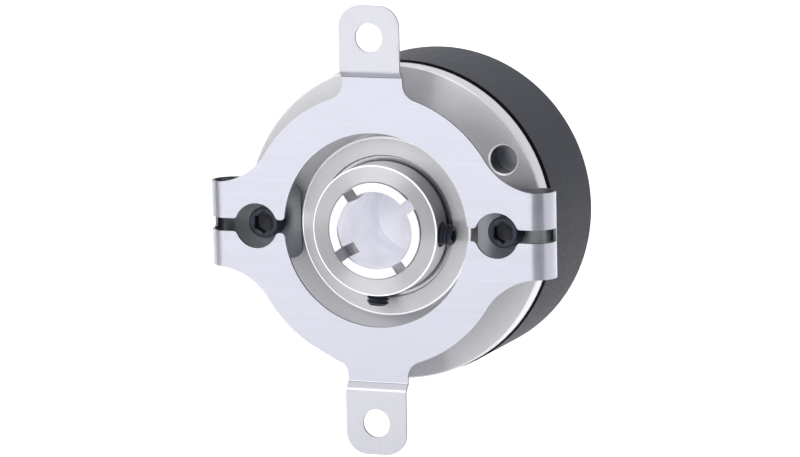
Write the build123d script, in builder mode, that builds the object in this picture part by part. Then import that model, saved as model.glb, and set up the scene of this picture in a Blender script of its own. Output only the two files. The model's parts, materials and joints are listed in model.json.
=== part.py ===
"""Hollow-shaft incremental rotary encoder with a sprung stator coupling.

The shaft axis lies along Y and its open end faces -Y. The origin is on the axis, in the plane
where the two coupling ears meet the machine. All sizes are in millimetres. Depth means the
distance behind that plane, along +Y.
"""

import math
import os

from build123d import *

# Stator coupling, one folded spring-steel sheet
SHEET = 0.5
EAR_PITCH = 70.4
EAR_HOLE_D = 5.2
EAR_WIDTH = 11.6
EAR_TIP = 5.8
EAR_CORNER_R = 4.0
EAR_STEP = 1.3
EAR_STEP_START = 27.95
EAR_STEP_RUN = 1.2
NECK_FILLET = 3.1
STEP_BEND_R = 0.7
RING_R = 25.1
OPENING_R = 17.75
WING_HEIGHT = 15.6
WING_FILLET = 12.0
FOLD_DEPTH = 7.5
FOLD_REACH = 33.15
TAB_INNER_X = 17.2
TAB_TAPER = 1.0
TAB_CORNER_R = 2.1
SLOT_WIDTH = 2.4
SLOT_PAST_MIDDLE = 0.45
SLOT_END_R = 0.5
KEYHOLE_D = 8.3
HORN_R = 0.75
COUPLING_SCREW_X = 23.25

# Front flange
BODY_D = 58.0
RIM_WIDTH = 3.9
RIM_CHAMFER = 0.25
RING_TO_FLANGE = 10.0
RING_TO_BOSS = 5.35
BOSS_D = 32.9
BOSS_CHAMFER = 0.35
BOSS_ROOT = 0.5
BORE_EDGE = 0.12
PAD_D = 8.4
SPIGOT_LENGTH = 2.4
HUB_WALL = 2.0
HUB_OVERHANG = 0.5
PIN_HOLE_D = 5.2
PIN_HOLE_DEPTH = 4.1
PIN_HOLE_RADIUS = 24.5
PIN_HOLE_COUNT = 3
PIN_HOLE_ANGLE = 30.0
PIN_HOLE_CHAMFER = 0.3

# Ball bearings, two alike
BEARING_OD = 26.0
BEARING_HEIGHT = 4.5
BEARING_WIDTH = 5.0
BEARING_RECESS = 0.25
BEARING_GAP = 5.1
RACE_WALL = 1.1
RACE_CHAMFER = 0.15
BALL_D = 2.74
BALL_COUNT = 11
BALL_TO_GROOVE = 0.05
BALL_TO_CAGE = 0.03
CAGE_WALL = 1.0
CAGE_WIDTH = 3.4
SHIELD_SHEET = 0.25
SHIELD_INSET = 0.2
SHIELD_SEAT = 0.3
SHIELD_AIR = 0.2
LAND_LIP = 1.0
PRELOAD_WASHER = 0.6
WASHER_MARGIN = 0.1

# Hollow shaft and clamp ring
SHAFT_WALL = 1.5
BORE_DEPTH = 20.0
BORE_CHAMFER = 0.35
COLLET_WALL = 1.8
COLLET_CHAMFER = 0.15
COLLET_AHEAD_OF_RING = 0.4
COLLET_SLOT = 2.2
COLLET_SLOT_COUNT = 4
COLLET_SLOT_DEPTH = 5.6
COLLET_SLOT_ANGLE = 35.5
CLAMP_PAST_COLLET = 3.2
CLAMP_WIDTH = 5.5
CLAMP_AHEAD_OF_RING = 0.2
CLAMP_CHAMFER = 0.2
CLAMP_BORE_CHAMFER = 0.3
CLAMP_FIT = 0.02
SIDE_SCREW_ANGLE = -3.0
BOTTOM_SCREW_ANGLE = -93.0
SIDE_SCREW_PROUD = 2.2
BOTTOM_SCREW_PROUD = 2.0
SET_SCREW_D = 4.0
SET_SCREW_LENGTH = 5.0
SET_SCREW_FIT = 0.05
SET_SCREW_HEX = 2.0
SET_SCREW_SOCKET = 2.2
SET_SCREW_CHAMFER = 0.35
CIRCLIP_SHEET = 0.9
CIRCLIP_DEPTH = 0.6
CIRCLIP_PROUD = 1.1
CIRCLIP_GAP = 3.0
SHOULDER_LAND = 1.0
JOURNAL_STEP = 2.0

# Code disc
DISC_PAST_HEAD = 3.1
DISC_THICK = 0.8
DISC_HUB_WALL = 4.0
DISC_HUB_NECK_WALL = 2.6
DISC_HUB_NECK = 1.1
DISC_HUB_LENGTH = 2.4
DISC_CLAMP_WALL = 2.5
DISC_CLAMP_LENGTH = 1.3

# Scanning head: light source in front of the disc, sensor behind it
HEAD_WIDTH = 8.0
HEAD_TO_HUB = 0.9
SENSOR_HEIGHT = 4.6
LIGHT_HEIGHT = 6.7
LIGHT_TO_DISC = 0.8
LEAD_D = 0.5
LEAD_PITCH = 2.54
LEAD_HEIGHT = 5.4
LEAD_SOCKET = 1.0
DISC_TO_MASK = 0.4
MASK_THICK = 0.5
SENSOR_THICK = 1.9

# Circuit board and its posts
BOARD_CLEARANCE = 1.05
BOARD_THICK = 1.6
SOLDER_TAIL = 0.4
POST_PAST_DISC = 3.4
POST_HEX = 5.0
POST_COUNT = 3
POST_ANGLE = 90.0
STUD_D = 2.9
STUD_LENGTH = 3.6
BOARD_STUD_LENGTH = 4.1
TAPPED_D = 3.0
TAPPED_SPARE = 0.5
CHIP_SIZE = 9.0
CHIP_HEIGHT = 1.4
CHIP_X = -12.5
CHIP_Z = 3.0
DRIVER_WIDTH = 6.0
DRIVER_LENGTH = 10.0
DRIVER_HEIGHT = 1.6
DRIVER_X = 13.5
DRIVER_Z = 4.0
CAPACITOR_WIDTH = 2.8
CAPACITOR_LENGTH = 4.2
CAPACITOR_HEIGHT = 1.9
CAPACITOR_COUNT = 3
CAPACITOR_PITCH = 5.5
CAPACITOR_Z = -14.0

# Rear cover and its seal
COVER_PROUD = 0.25
COVER_WALL = 1.7
COVER_LENGTH = 22.4
COVER_FLOOR = 1.8
COVER_FIT = 0.05
COVER_REAR_FILLET = 1.5
COVER_FRONT_FILLET = 0.35
SEAL_THICK = 0.4
SEAL_PROUD = 0.1

# Screws
M3_CLEAR_D = 3.4
M3_LENGTH = 8.0
CAP_HEAD_D = 5.8
CAP_HEAD_H = 3.1
CAP_HEX = 3.4
CAP_HEX_DEPTH = 1.8
CAP_CHAMFER = 0.3
WASHER_D = 6.0
WASHER_SHEET = 0.5
PAN_HEAD_D = 5.6
PAN_HEAD_H = 1.9
PAN_HEX = 2.0
PAN_HEX_DEPTH = 1.2
PAN_CHAMFER = 0.5
COVER_SCREW_LENGTH = 5.0

# Round connector on the rear, M12 with eight pins
PLUG_D = 12.0
PLUG_LENGTH = 11.0
PLUG_CHAMFER = 0.5
PLUG_BORE_D = 9.6
PLUG_FLANGE_D = 17.0
PLUG_FLANGE = 2.0
PLUG_GASKET_D = 15.0
PLUG_GASKET = 0.5
PLUG_CAVITY = 7.6
PLUG_HOLE_FIT = 0.05
PLUG_NUT_HEX = 15.0
PLUG_NUT = 2.0
PLUG_PAST_NUT = 0.8
PIN_D = 0.8
PIN_CIRCLE_D = 5.5
PIN_RING_COUNT = 7
PIN_SETBACK = 1.4

# Depths worked out from the sizes above
RING_Y = EAR_STEP
FOLD_MID_Y = RING_Y + FOLD_DEPTH / 2
TAB_BACK_Y = RING_Y + FOLD_DEPTH
TAB_Y = TAB_BACK_Y - SHEET
FLANGE_Y = RING_Y + RING_TO_FLANGE
BOSS_Y = RING_Y + RING_TO_BOSS
RIM_BACK_Y = FLANGE_Y + RIM_WIDTH
SPIGOT_END_Y = RIM_BACK_Y + SPIGOT_LENGTH
FRONT_BEARING_Y = BOSS_Y + BEARING_RECESS
LAND_Y = FRONT_BEARING_Y + BEARING_WIDTH
REAR_BEARING_Y = LAND_Y + BEARING_GAP
LAND_BACK_Y = REAR_BEARING_Y - PRELOAD_WASHER
BEARINGS_END_Y = REAR_BEARING_Y + BEARING_WIDTH
HUB_END_Y = BEARINGS_END_Y + HUB_OVERHANG
COLLET_Y = RING_Y - COLLET_AHEAD_OF_RING
BORE_END_Y = COLLET_Y + BORE_DEPTH
CLAMP_Y = RING_Y - CLAMP_AHEAD_OF_RING
CLAMP_END_Y = CLAMP_Y + CLAMP_WIDTH
SET_SCREW_Y = CLAMP_Y + CLAMP_WIDTH / 2
CIRCLIP_END_Y = BEARINGS_END_Y + CIRCLIP_SHEET
SHOULDER_Y = CIRCLIP_END_Y + SHOULDER_LAND
DISC_Y = SHOULDER_Y + DISC_HUB_LENGTH
DISC_BACK_Y = DISC_Y + DISC_THICK
SHAFT_END_Y = DISC_BACK_Y + DISC_CLAMP_LENGTH
LIGHT_END_Y = DISC_Y - LIGHT_TO_DISC
MASK_Y = DISC_BACK_Y + DISC_TO_MASK
SENSOR_Y = MASK_Y + MASK_THICK
BOARD_Y = SENSOR_Y + SENSOR_THICK
BOARD_BACK_Y = BOARD_Y + BOARD_THICK
COVER_Y = RIM_BACK_Y + SEAL_THICK
COVER_END_Y = COVER_Y + COVER_LENGTH
COVER_FLOOR_Y = COVER_END_Y - COVER_FLOOR
WASHER_Y = TAB_Y - WASHER_SHEET
CAP_Y = WASHER_Y - CAP_HEAD_H
CAP_SCREW_END_Y = WASHER_Y + M3_LENGTH
PLUG_START_Y = COVER_FLOOR_Y - PLUG_NUT - PLUG_PAST_NUT
PLUG_FLANGE_Y = COVER_END_Y + PLUG_GASKET
PLUG_THREAD_Y = PLUG_FLANGE_Y + PLUG_FLANGE
PLUG_END_Y = PLUG_THREAD_Y + PLUG_LENGTH
INSERT_END_Y = PLUG_END_Y - PLUG_CAVITY

# Radii and other distances worked out from the sizes above
BODY_R = BODY_D / 2
HOUSING_BORE_R = BEARING_OD / 2
SHAFT_R = HOUSING_BORE_R - BEARING_HEIGHT
BORE_R = SHAFT_R - SHAFT_WALL
COLLET_R = BORE_R + COLLET_WALL
CLAMP_R = COLLET_R + CLAMP_PAST_COLLET
SIDE_SCREW_TIP_R = CLAMP_R + SIDE_SCREW_PROUD
BOTTOM_SCREW_TIP_R = CLAMP_R + BOTTOM_SCREW_PROUD
INNER_RACE_R = SHAFT_R + RACE_WALL
OUTER_RACE_R = HOUSING_BORE_R - RACE_WALL
SHIELD_R = OUTER_RACE_R + SHIELD_SEAT
SHIELD_END = SHIELD_INSET + SHIELD_SHEET
PITCH_R = (INNER_RACE_R + OUTER_RACE_R) / 2
GROOVE_R = BALL_D / 2 + BALL_TO_GROOVE
POCKET_R = BALL_D / 2 + BALL_TO_CAGE
LAND_R = HOUSING_BORE_R - LAND_LIP
HUB_R = HOUSING_BORE_R + HUB_WALL
JOURNAL_R = BORE_R - JOURNAL_STEP
HEAD_INNER_R = HUB_R + HEAD_TO_HUB
SENSOR_OUTER_R = HEAD_INNER_R + SENSOR_HEIGHT
LIGHT_OUTER_R = HEAD_INNER_R + LIGHT_HEIGHT
LEAD_R = HEAD_INNER_R + LEAD_HEIGHT
DISC_R = HEAD_INNER_R + DISC_PAST_HEAD
POST_RADIUS = DISC_R + POST_PAST_DISC
COVER_R = BODY_R + COVER_PROUD
COVER_BORE_R = COVER_R - COVER_WALL
BOARD_R = COVER_BORE_R - BOARD_CLEARANCE
SPIGOT_R = COVER_BORE_R - COVER_FIT
CLAMP_BORE_R = COLLET_R + CLAMP_FIT
CIRCLIP_R = SHAFT_R - CIRCLIP_DEPTH
FOLD_X = FOLD_REACH - FOLD_DEPTH / 2
FOLD_R = (FOLD_DEPTH - SHEET) / 2
EAR_HALF = EAR_WIDTH / 2
WING_HALF = WING_HEIGHT / 2
EAR_END = EAR_PITCH / 2 + EAR_TIP
STUD_HOLE = STUD_LENGTH + TAPPED_SPARE


def across(depth):
    """Plane square to the shaft axis at this depth, with local X as X and local Y as Z."""
    return Plane(origin=(0, depth, 0), x_dir=(1, 0, 0), z_dir=(0, -1, 0))


def radial(angle, depth, radius):
    """Plane square to a radial screw, its normal pointing away from the shaft axis."""
    turn = math.radians(angle)
    outward = (math.cos(turn), 0, math.sin(turn))
    place = (radius * outward[0], depth, radius * outward[2])
    return Plane(origin=place, x_dir=(0, 1, 0), z_dir=outward)


def section(*corners):
    """Half section with these (radius, depth) corners, to be turned about the shaft axis."""
    with BuildSketch(Plane.XY) as half:
        with BuildLine():
            Polyline(*corners, close=True)
        make_face()
    return half.sketch


def tube(inner, outer, start, end):
    """Half section of a plain ring."""
    return section((inner, start), (outer, start), (outer, end), (inner, end))


def race(start, *corners):
    """Half section of a bearing race that starts at this depth, with its ball groove."""
    with BuildSketch(Plane.XY) as half:
        with BuildLine():
            Polyline(*[(r, start + y) for r, y in corners], close=True)
        make_face()
        with Locations((PITCH_R, start + BEARING_WIDTH / 2)):
            Circle(GROOVE_R, mode=Mode.SUBTRACT)
    return half.sketch


def outer_race(start):
    """Half section of an outer race, stepped at both ends for the shields."""
    far = BEARING_WIDTH
    return race(
        start,
        (OUTER_RACE_R, SHIELD_END),
        (SHIELD_R, SHIELD_END),
        (SHIELD_R, 0),
        (HOUSING_BORE_R - RACE_CHAMFER, 0),
        (HOUSING_BORE_R, RACE_CHAMFER),
        (HOUSING_BORE_R, far - RACE_CHAMFER),
        (HOUSING_BORE_R - RACE_CHAMFER, far),
        (SHIELD_R, far),
        (SHIELD_R, far - SHIELD_END),
        (OUTER_RACE_R, far - SHIELD_END),
    )


def inner_race(start):
    """Half section of an inner race."""
    far = BEARING_WIDTH
    return race(
        start,
        (SHAFT_R, RACE_CHAMFER),
        (SHAFT_R + RACE_CHAMFER, 0),
        (INNER_RACE_R, 0),
        (INNER_RACE_R, far),
        (SHAFT_R + RACE_CHAMFER, far),
        (SHAFT_R, far - RACE_CHAMFER),
    )


def blend_centre(half, fillet_r):
    """Place of the fillet between the ring's edge and a straight edge, along and across it."""
    side = half + fillet_r
    return math.sqrt((RING_R + fillet_r) ** 2 - side**2), side


def save(piece, name):
    """Name a finished piece and write it to its own file."""
    piece.part.label = name
    export_step(piece.part, f"parts/{name}.step")


os.makedirs("parts", exist_ok=True)

# Stator coupling: a split ring with two ears, and two wings folded back to the flange
wing_along, wing_side = blend_centre(WING_HALF, WING_FILLET)
neck_along, neck_side = blend_centre(EAR_HALF, NECK_FILLET)
wing_share = RING_R / (RING_R + WING_FILLET)
neck_share = RING_R / (RING_R + NECK_FILLET)
wing_start = (wing_along * wing_share, wing_side * wing_share)
neck_start = (neck_side * neck_share, neck_along * neck_share)

with BuildPart() as stator_coupling:
    with BuildSketch(Plane.YZ) as ear_bends:
        with BuildLine():
            FilletPolyline(
                (RING_Y + SHEET / 2, 0),
                (RING_Y + SHEET / 2, EAR_STEP_START),
                (SHEET / 2, EAR_STEP_START + EAR_STEP_RUN),
                (SHEET / 2, EAR_END + SHEET),
                radius=STEP_BEND_R,
            )
        trace(line_width=SHEET)
        mirror(about=Plane.XZ)
    extrude(amount=FOLD_X, both=True)
    with BuildSketch(Plane.XY) as front_bends:
        with BuildLine():
            CenterArc((FOLD_X, FOLD_MID_Y), FOLD_R, -90, 90)
        trace(line_width=SHEET)
        mirror(about=Plane.YZ)
    extrude(amount=WING_FILLET, both=True)
    with BuildSketch(across(0)) as outline:
        Circle(RING_R)
        with BuildLine():
            Line((0, 0), wing_start)
            RadiusArc(wing_start, (wing_along, WING_HALF), -WING_FILLET)
            Polyline((wing_along, WING_HALF), (FOLD_REACH, WING_HALF), (FOLD_REACH, 0), (0, 0))
        make_face()
        with BuildLine():
            Line((0, 0), neck_start)
            RadiusArc(neck_start, (EAR_HALF, neck_along), NECK_FILLET)
            Line((EAR_HALF, neck_along), (EAR_HALF, EAR_END - EAR_CORNER_R))
            RadiusArc(
                (EAR_HALF, EAR_END - EAR_CORNER_R),
                (EAR_HALF - EAR_CORNER_R, EAR_END),
                -EAR_CORNER_R,
            )
            Polyline((EAR_HALF - EAR_CORNER_R, EAR_END), (0, EAR_END), (0, 0))
        make_face()
        mirror(about=Plane.YZ)
        mirror(about=Plane.XZ)
        with Locations((0, EAR_PITCH / 2), (0, -EAR_PITCH / 2)):
            Circle(EAR_HOLE_D / 2, mode=Mode.SUBTRACT)
    extrude(amount=-FOLD_MID_Y, mode=Mode.INTERSECT)
    with BuildSketch(across(0)) as window:
        Circle(OPENING_R)
        with Locations((COUPLING_SCREW_X, 0), (-COUPLING_SCREW_X, 0)):
            Circle(KEYHOLE_D / 2)
        Rectangle(2 * (FOLD_REACH + SHEET), SLOT_WIDTH)
        inner_corners = window.vertices().filter_by(lambda v: abs(v.X) < FOLD_X)
        fillet(inner_corners, radius=HORN_R)
    extrude(amount=-FOLD_MID_Y, mode=Mode.SUBTRACT)
    with BuildSketch(Plane.XY) as rear_bends:
        with BuildLine():
            CenterArc((FOLD_X, FOLD_MID_Y), FOLD_R, 0, 90)
        trace(line_width=SHEET)
        mirror(about=Plane.YZ)
    extrude(amount=WING_HALF, both=True)
    with BuildSketch(across(TAB_Y)) as tabs:
        with BuildLine():
            Polyline(
                (FOLD_X, WING_HALF),
                (TAB_INNER_X, WING_HALF - TAB_TAPER),
                (TAB_INNER_X, TAB_TAPER - WING_HALF),
                (FOLD_X, -WING_HALF),
                close=True,
            )
        make_face()
        tab_corners = tabs.vertices().group_by(Axis.X)[0]
        fillet(tab_corners, radius=TAB_CORNER_R)
        with Locations((COUPLING_SCREW_X, 0)):
            Circle(M3_CLEAR_D / 2, mode=Mode.SUBTRACT)
        mirror(about=Plane.YZ)
    extrude(amount=-SHEET)
    with BuildSketch(Plane.YZ) as slot_end:
        with Locations((FOLD_MID_Y + SLOT_PAST_MIDDLE - FOLD_R, 0)):
            Rectangle(2 * FOLD_R, SLOT_WIDTH)
        end_corners = slot_end.vertices().group_by(Axis.Y)[-1]
        fillet(end_corners, radius=SLOT_END_R)
    extrude(amount=FOLD_REACH + SHEET, both=True, mode=Mode.SUBTRACT)
save(stator_coupling, "stator_coupling")

# Front flange with the boss, the bearing bore and the rear spigot
with BuildPart() as front_flange:
    body = section(
        (HOUSING_BORE_R + BORE_EDGE, BOSS_Y),
        (BOSS_D / 2 - BOSS_CHAMFER, BOSS_Y),
        (BOSS_D / 2, BOSS_Y + BOSS_CHAMFER),
        (BOSS_D / 2, FLANGE_Y - BOSS_ROOT),
        (BOSS_D / 2 + BOSS_ROOT, FLANGE_Y),
        (BODY_R - RIM_CHAMFER, FLANGE_Y),
        (BODY_R, FLANGE_Y + RIM_CHAMFER),
        (BODY_R, RIM_BACK_Y),
        (SPIGOT_R, RIM_BACK_Y),
        (SPIGOT_R, SPIGOT_END_Y),
        (HUB_R, SPIGOT_END_Y),
        (HUB_R, HUB_END_Y),
        (HOUSING_BORE_R, HUB_END_Y),
        (HOUSING_BORE_R, LAND_BACK_Y),
        (LAND_R, LAND_BACK_Y),
        (LAND_R, LAND_Y),
        (HOUSING_BORE_R, LAND_Y),
        (HOUSING_BORE_R, BOSS_Y + BORE_EDGE),
    )
    revolve(body, axis=Axis.Y)
    with BuildSketch(across(TAB_BACK_Y)) as pads:
        with Locations((COUPLING_SCREW_X, 0), (-COUPLING_SCREW_X, 0)):
            Circle(PAD_D / 2)
    extrude(amount=TAB_BACK_Y - FLANGE_Y)
    with BuildSketch(across(TAB_BACK_Y)) as coupling_threads:
        with Locations((COUPLING_SCREW_X, 0), (-COUPLING_SCREW_X, 0)):
            Circle(TAPPED_D / 2)
    extrude(amount=TAB_BACK_Y - CAP_SCREW_END_Y - TAPPED_SPARE, mode=Mode.SUBTRACT)
    with BuildSketch(across(FLANGE_Y)) as pin_holes:
        with PolarLocations(PIN_HOLE_RADIUS, PIN_HOLE_COUNT, PIN_HOLE_ANGLE):
            Circle(PIN_HOLE_D / 2)
    extrude(amount=-PIN_HOLE_DEPTH, mode=Mode.SUBTRACT)
    with BuildSketch(across(FLANGE_Y)) as pin_hole_edges:
        with PolarLocations(PIN_HOLE_RADIUS, PIN_HOLE_COUNT, PIN_HOLE_ANGLE):
            Circle(PIN_HOLE_D / 2 + PIN_HOLE_CHAMFER)
    extrude(amount=-PIN_HOLE_CHAMFER, taper=45, mode=Mode.SUBTRACT)
    with BuildSketch(across(SPIGOT_END_Y)) as post_threads:
        with PolarLocations(POST_RADIUS, POST_COUNT, POST_ANGLE):
            Circle(TAPPED_D / 2)
    extrude(amount=STUD_HOLE, mode=Mode.SUBTRACT)
save(front_flange, "front_flange")

# Front ball bearing
with BuildPart() as front_outer_race:
    revolve(outer_race(FRONT_BEARING_Y), axis=Axis.Y)
save(front_outer_race, "front_outer_race")

with BuildPart() as front_inner_race:
    revolve(inner_race(FRONT_BEARING_Y), axis=Axis.Y)
save(front_inner_race, "front_inner_race")

with BuildPart() as front_shields:
    for depth in (SHIELD_INSET, BEARING_WIDTH - SHIELD_END):
        start = FRONT_BEARING_Y + depth
        ring = tube(INNER_RACE_R + SHIELD_AIR, SHIELD_R, start, start + SHIELD_SHEET)
        revolve(ring, axis=Axis.Y)
save(front_shields, "front_shields")

with BuildPart() as front_cage:
    middle = FRONT_BEARING_Y + BEARING_WIDTH / 2
    ring = tube(
        PITCH_R - CAGE_WALL / 2,
        PITCH_R + CAGE_WALL / 2,
        middle - CAGE_WIDTH / 2,
        middle + CAGE_WIDTH / 2,
    )
    revolve(ring, axis=Axis.Y)
    for index in range(BALL_COUNT):
        with BuildSketch(radial(index * 360 / BALL_COUNT, middle, PITCH_R)):
            Circle(POCKET_R)
        extrude(amount=CAGE_WALL, both=True, mode=Mode.SUBTRACT)
save(front_cage, "front_cage")

with BuildPart() as front_balls:
    with Locations(across(FRONT_BEARING_Y + BEARING_WIDTH / 2)):
        with PolarLocations(PITCH_R, BALL_COUNT):
            Sphere(BALL_D / 2)
save(front_balls, "front_balls")

# Rear ball bearing
with BuildPart() as rear_outer_race:
    revolve(outer_race(REAR_BEARING_Y), axis=Axis.Y)
save(rear_outer_race, "rear_outer_race")

with BuildPart() as rear_inner_race:
    revolve(inner_race(REAR_BEARING_Y), axis=Axis.Y)
save(rear_inner_race, "rear_inner_race")

with BuildPart() as rear_shields:
    for depth in (SHIELD_INSET, BEARING_WIDTH - SHIELD_END):
        start = REAR_BEARING_Y + depth
        ring = tube(INNER_RACE_R + SHIELD_AIR, SHIELD_R, start, start + SHIELD_SHEET)
        revolve(ring, axis=Axis.Y)
save(rear_shields, "rear_shields")

with BuildPart() as rear_cage:
    middle = REAR_BEARING_Y + BEARING_WIDTH / 2
    ring = tube(
        PITCH_R - CAGE_WALL / 2,
        PITCH_R + CAGE_WALL / 2,
        middle - CAGE_WIDTH / 2,
        middle + CAGE_WIDTH / 2,
    )
    revolve(ring, axis=Axis.Y)
    for index in range(BALL_COUNT):
        with BuildSketch(radial(index * 360 / BALL_COUNT, middle, PITCH_R)):
            Circle(POCKET_R)
        extrude(amount=CAGE_WALL, both=True, mode=Mode.SUBTRACT)
save(rear_cage, "rear_cage")

with BuildPart() as rear_balls:
    with Locations(across(REAR_BEARING_Y + BEARING_WIDTH / 2)):
        with PolarLocations(PITCH_R, BALL_COUNT):
            Sphere(BALL_D / 2)
save(rear_balls, "rear_balls")

# Spring washer that loads both bearings, modelled flat as it is when squeezed
with BuildPart() as preload_washer:
    ring = tube(
        LAND_R + WASHER_MARGIN,
        HOUSING_BORE_R - WASHER_MARGIN,
        LAND_BACK_Y,
        REAR_BEARING_Y,
    )
    revolve(ring, axis=Axis.Y)
save(preload_washer, "preload_washer")

# Hollow shaft: slotted collet, bearing seats, circlip groove and a journal for the disc
with BuildPart() as hollow_shaft:
    body = section(
        (BORE_R + BORE_CHAMFER, COLLET_Y),
        (COLLET_R - COLLET_CHAMFER, COLLET_Y),
        (COLLET_R, COLLET_Y + COLLET_CHAMFER),
        (COLLET_R, FRONT_BEARING_Y),
        (SHAFT_R, FRONT_BEARING_Y),
        (SHAFT_R, BEARINGS_END_Y),
        (CIRCLIP_R, BEARINGS_END_Y),
        (CIRCLIP_R, CIRCLIP_END_Y),
        (SHAFT_R, CIRCLIP_END_Y),
        (SHAFT_R, SHOULDER_Y),
        (JOURNAL_R, SHOULDER_Y),
        (JOURNAL_R, SHAFT_END_Y),
        (0, SHAFT_END_Y),
        (0, BORE_END_Y),
        (BORE_R, BORE_END_Y),
        (BORE_R, COLLET_Y + BORE_CHAMFER),
    )
    revolve(body, axis=Axis.Y)
    with BuildSketch(across(COLLET_Y)) as slots:
        with PolarLocations(BORE_R + COLLET_SLOT / 4, COLLET_SLOT_COUNT, COLLET_SLOT_ANGLE):
            Rectangle(2 * COLLET_SLOT, COLLET_SLOT)
    extrude(amount=-COLLET_SLOT_DEPTH, mode=Mode.SUBTRACT)
save(hollow_shaft, "hollow_shaft")

# Clamp ring around the collet, with two tapped holes for the set screws
with BuildPart() as clamp_ring:
    body = section(
        (CLAMP_BORE_R + CLAMP_BORE_CHAMFER, CLAMP_Y),
        (CLAMP_R - CLAMP_CHAMFER, CLAMP_Y),
        (CLAMP_R, CLAMP_Y + CLAMP_CHAMFER),
        (CLAMP_R, CLAMP_END_Y - CLAMP_CHAMFER),
        (CLAMP_R - CLAMP_CHAMFER, CLAMP_END_Y),
        (CLAMP_BORE_R + CLAMP_BORE_CHAMFER, CLAMP_END_Y),
        (CLAMP_BORE_R, CLAMP_END_Y - CLAMP_BORE_CHAMFER),
        (CLAMP_BORE_R, CLAMP_Y + CLAMP_BORE_CHAMFER),
    )
    revolve(body, axis=Axis.Y)
    for angle in (SIDE_SCREW_ANGLE, BOTTOM_SCREW_ANGLE):
        with BuildSketch(radial(angle, SET_SCREW_Y, SHAFT_R)):
            Circle(SET_SCREW_D / 2 + SET_SCREW_FIT)
        extrude(amount=CLAMP_R, mode=Mode.SUBTRACT)
save(clamp_ring, "clamp_ring")

# Set screws of the clamp ring, backed off from the collet as in the photograph
with BuildPart() as side_set_screw:
    with BuildSketch(radial(SIDE_SCREW_ANGLE, SET_SCREW_Y, SIDE_SCREW_TIP_R)):
        Circle(SET_SCREW_D / 2)
    extrude(amount=-SET_SCREW_LENGTH)
    chamfer(edges().filter_by(GeomType.CIRCLE), length=SET_SCREW_CHAMFER)
    with BuildSketch(radial(SIDE_SCREW_ANGLE, SET_SCREW_Y, SIDE_SCREW_TIP_R)):
        RegularPolygon(SET_SCREW_HEX / 2, 6, major_radius=False)
    extrude(amount=-SET_SCREW_SOCKET, mode=Mode.SUBTRACT)
save(side_set_screw, "side_set_screw")

with BuildPart() as bottom_set_screw:
    with BuildSketch(radial(BOTTOM_SCREW_ANGLE, SET_SCREW_Y, BOTTOM_SCREW_TIP_R)):
        Circle(SET_SCREW_D / 2)
    extrude(amount=-SET_SCREW_LENGTH)
    chamfer(edges().filter_by(GeomType.CIRCLE), length=SET_SCREW_CHAMFER)
    with BuildSketch(radial(BOTTOM_SCREW_ANGLE, SET_SCREW_Y, BOTTOM_SCREW_TIP_R)):
        RegularPolygon(SET_SCREW_HEX / 2, 6, major_radius=False)
    extrude(amount=-SET_SCREW_SOCKET, mode=Mode.SUBTRACT)
save(bottom_set_screw, "bottom_set_screw")

# Open retaining ring behind the rear bearing
with BuildPart() as shaft_circlip:
    ring = tube(CIRCLIP_R, SHAFT_R + CIRCLIP_PROUD, BEARINGS_END_Y, CIRCLIP_END_Y)
    revolve(ring, axis=Axis.Y)
    with BuildSketch(across(BEARINGS_END_Y)) as opening:
        with Locations((0, SHAFT_R)):
            Rectangle(CIRCLIP_GAP, SHAFT_R)
    extrude(amount=-CIRCLIP_SHEET, mode=Mode.SUBTRACT)
save(shaft_circlip, "shaft_circlip")

# Code disc between its hub and its clamp plate
with BuildPart() as disc_hub:
    body = section(
        (JOURNAL_R, SHOULDER_Y),
        (JOURNAL_R + DISC_HUB_NECK_WALL, SHOULDER_Y),
        (JOURNAL_R + DISC_HUB_NECK_WALL, SHOULDER_Y + DISC_HUB_NECK),
        (JOURNAL_R + DISC_HUB_WALL, SHOULDER_Y + DISC_HUB_NECK),
        (JOURNAL_R + DISC_HUB_WALL, DISC_Y),
        (JOURNAL_R, DISC_Y),
    )
    revolve(body, axis=Axis.Y)
save(disc_hub, "disc_hub")

with BuildPart() as code_disc:
    revolve(tube(JOURNAL_R, DISC_R, DISC_Y, DISC_BACK_Y), axis=Axis.Y)
save(code_disc, "code_disc")

with BuildPart() as disc_clamp:
    revolve(tube(JOURNAL_R, JOURNAL_R + DISC_CLAMP_WALL, DISC_BACK_Y, SHAFT_END_Y), axis=Axis.Y)
save(disc_clamp, "disc_clamp")

# Light source on the flange, its leads, and the sensor on the board
with BuildPart() as light_source:
    with BuildSketch(across(SPIGOT_END_Y)) as foot:
        with Locations((0, -(HEAD_INNER_R + LIGHT_OUTER_R) / 2)):
            Rectangle(HEAD_WIDTH, LIGHT_OUTER_R - HEAD_INNER_R)
    extrude(amount=SPIGOT_END_Y - LIGHT_END_Y)
    with BuildSketch(across(LIGHT_END_Y)) as lead_sockets:
        with Locations((-LEAD_PITCH / 2, -LEAD_R), (LEAD_PITCH / 2, -LEAD_R)):
            Circle(LEAD_D / 2)
    extrude(amount=LEAD_SOCKET, mode=Mode.SUBTRACT)
save(light_source, "light_source")

with BuildPart() as light_leads:
    with BuildSketch(across(LIGHT_END_Y - LEAD_SOCKET)) as lead_ends:
        with Locations((-LEAD_PITCH / 2, -LEAD_R), (LEAD_PITCH / 2, -LEAD_R)):
            Circle(LEAD_D / 2)
    extrude(amount=LIGHT_END_Y - LEAD_SOCKET - BOARD_BACK_Y - SOLDER_TAIL)
save(light_leads, "light_leads")

with BuildPart() as scanning_mask:
    with BuildSketch(across(MASK_Y)) as mask_face:
        with Locations((0, -(HEAD_INNER_R + SENSOR_OUTER_R) / 2)):
            Rectangle(HEAD_WIDTH, SENSOR_OUTER_R - HEAD_INNER_R)
    extrude(amount=-MASK_THICK)
save(scanning_mask, "scanning_mask")

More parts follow.
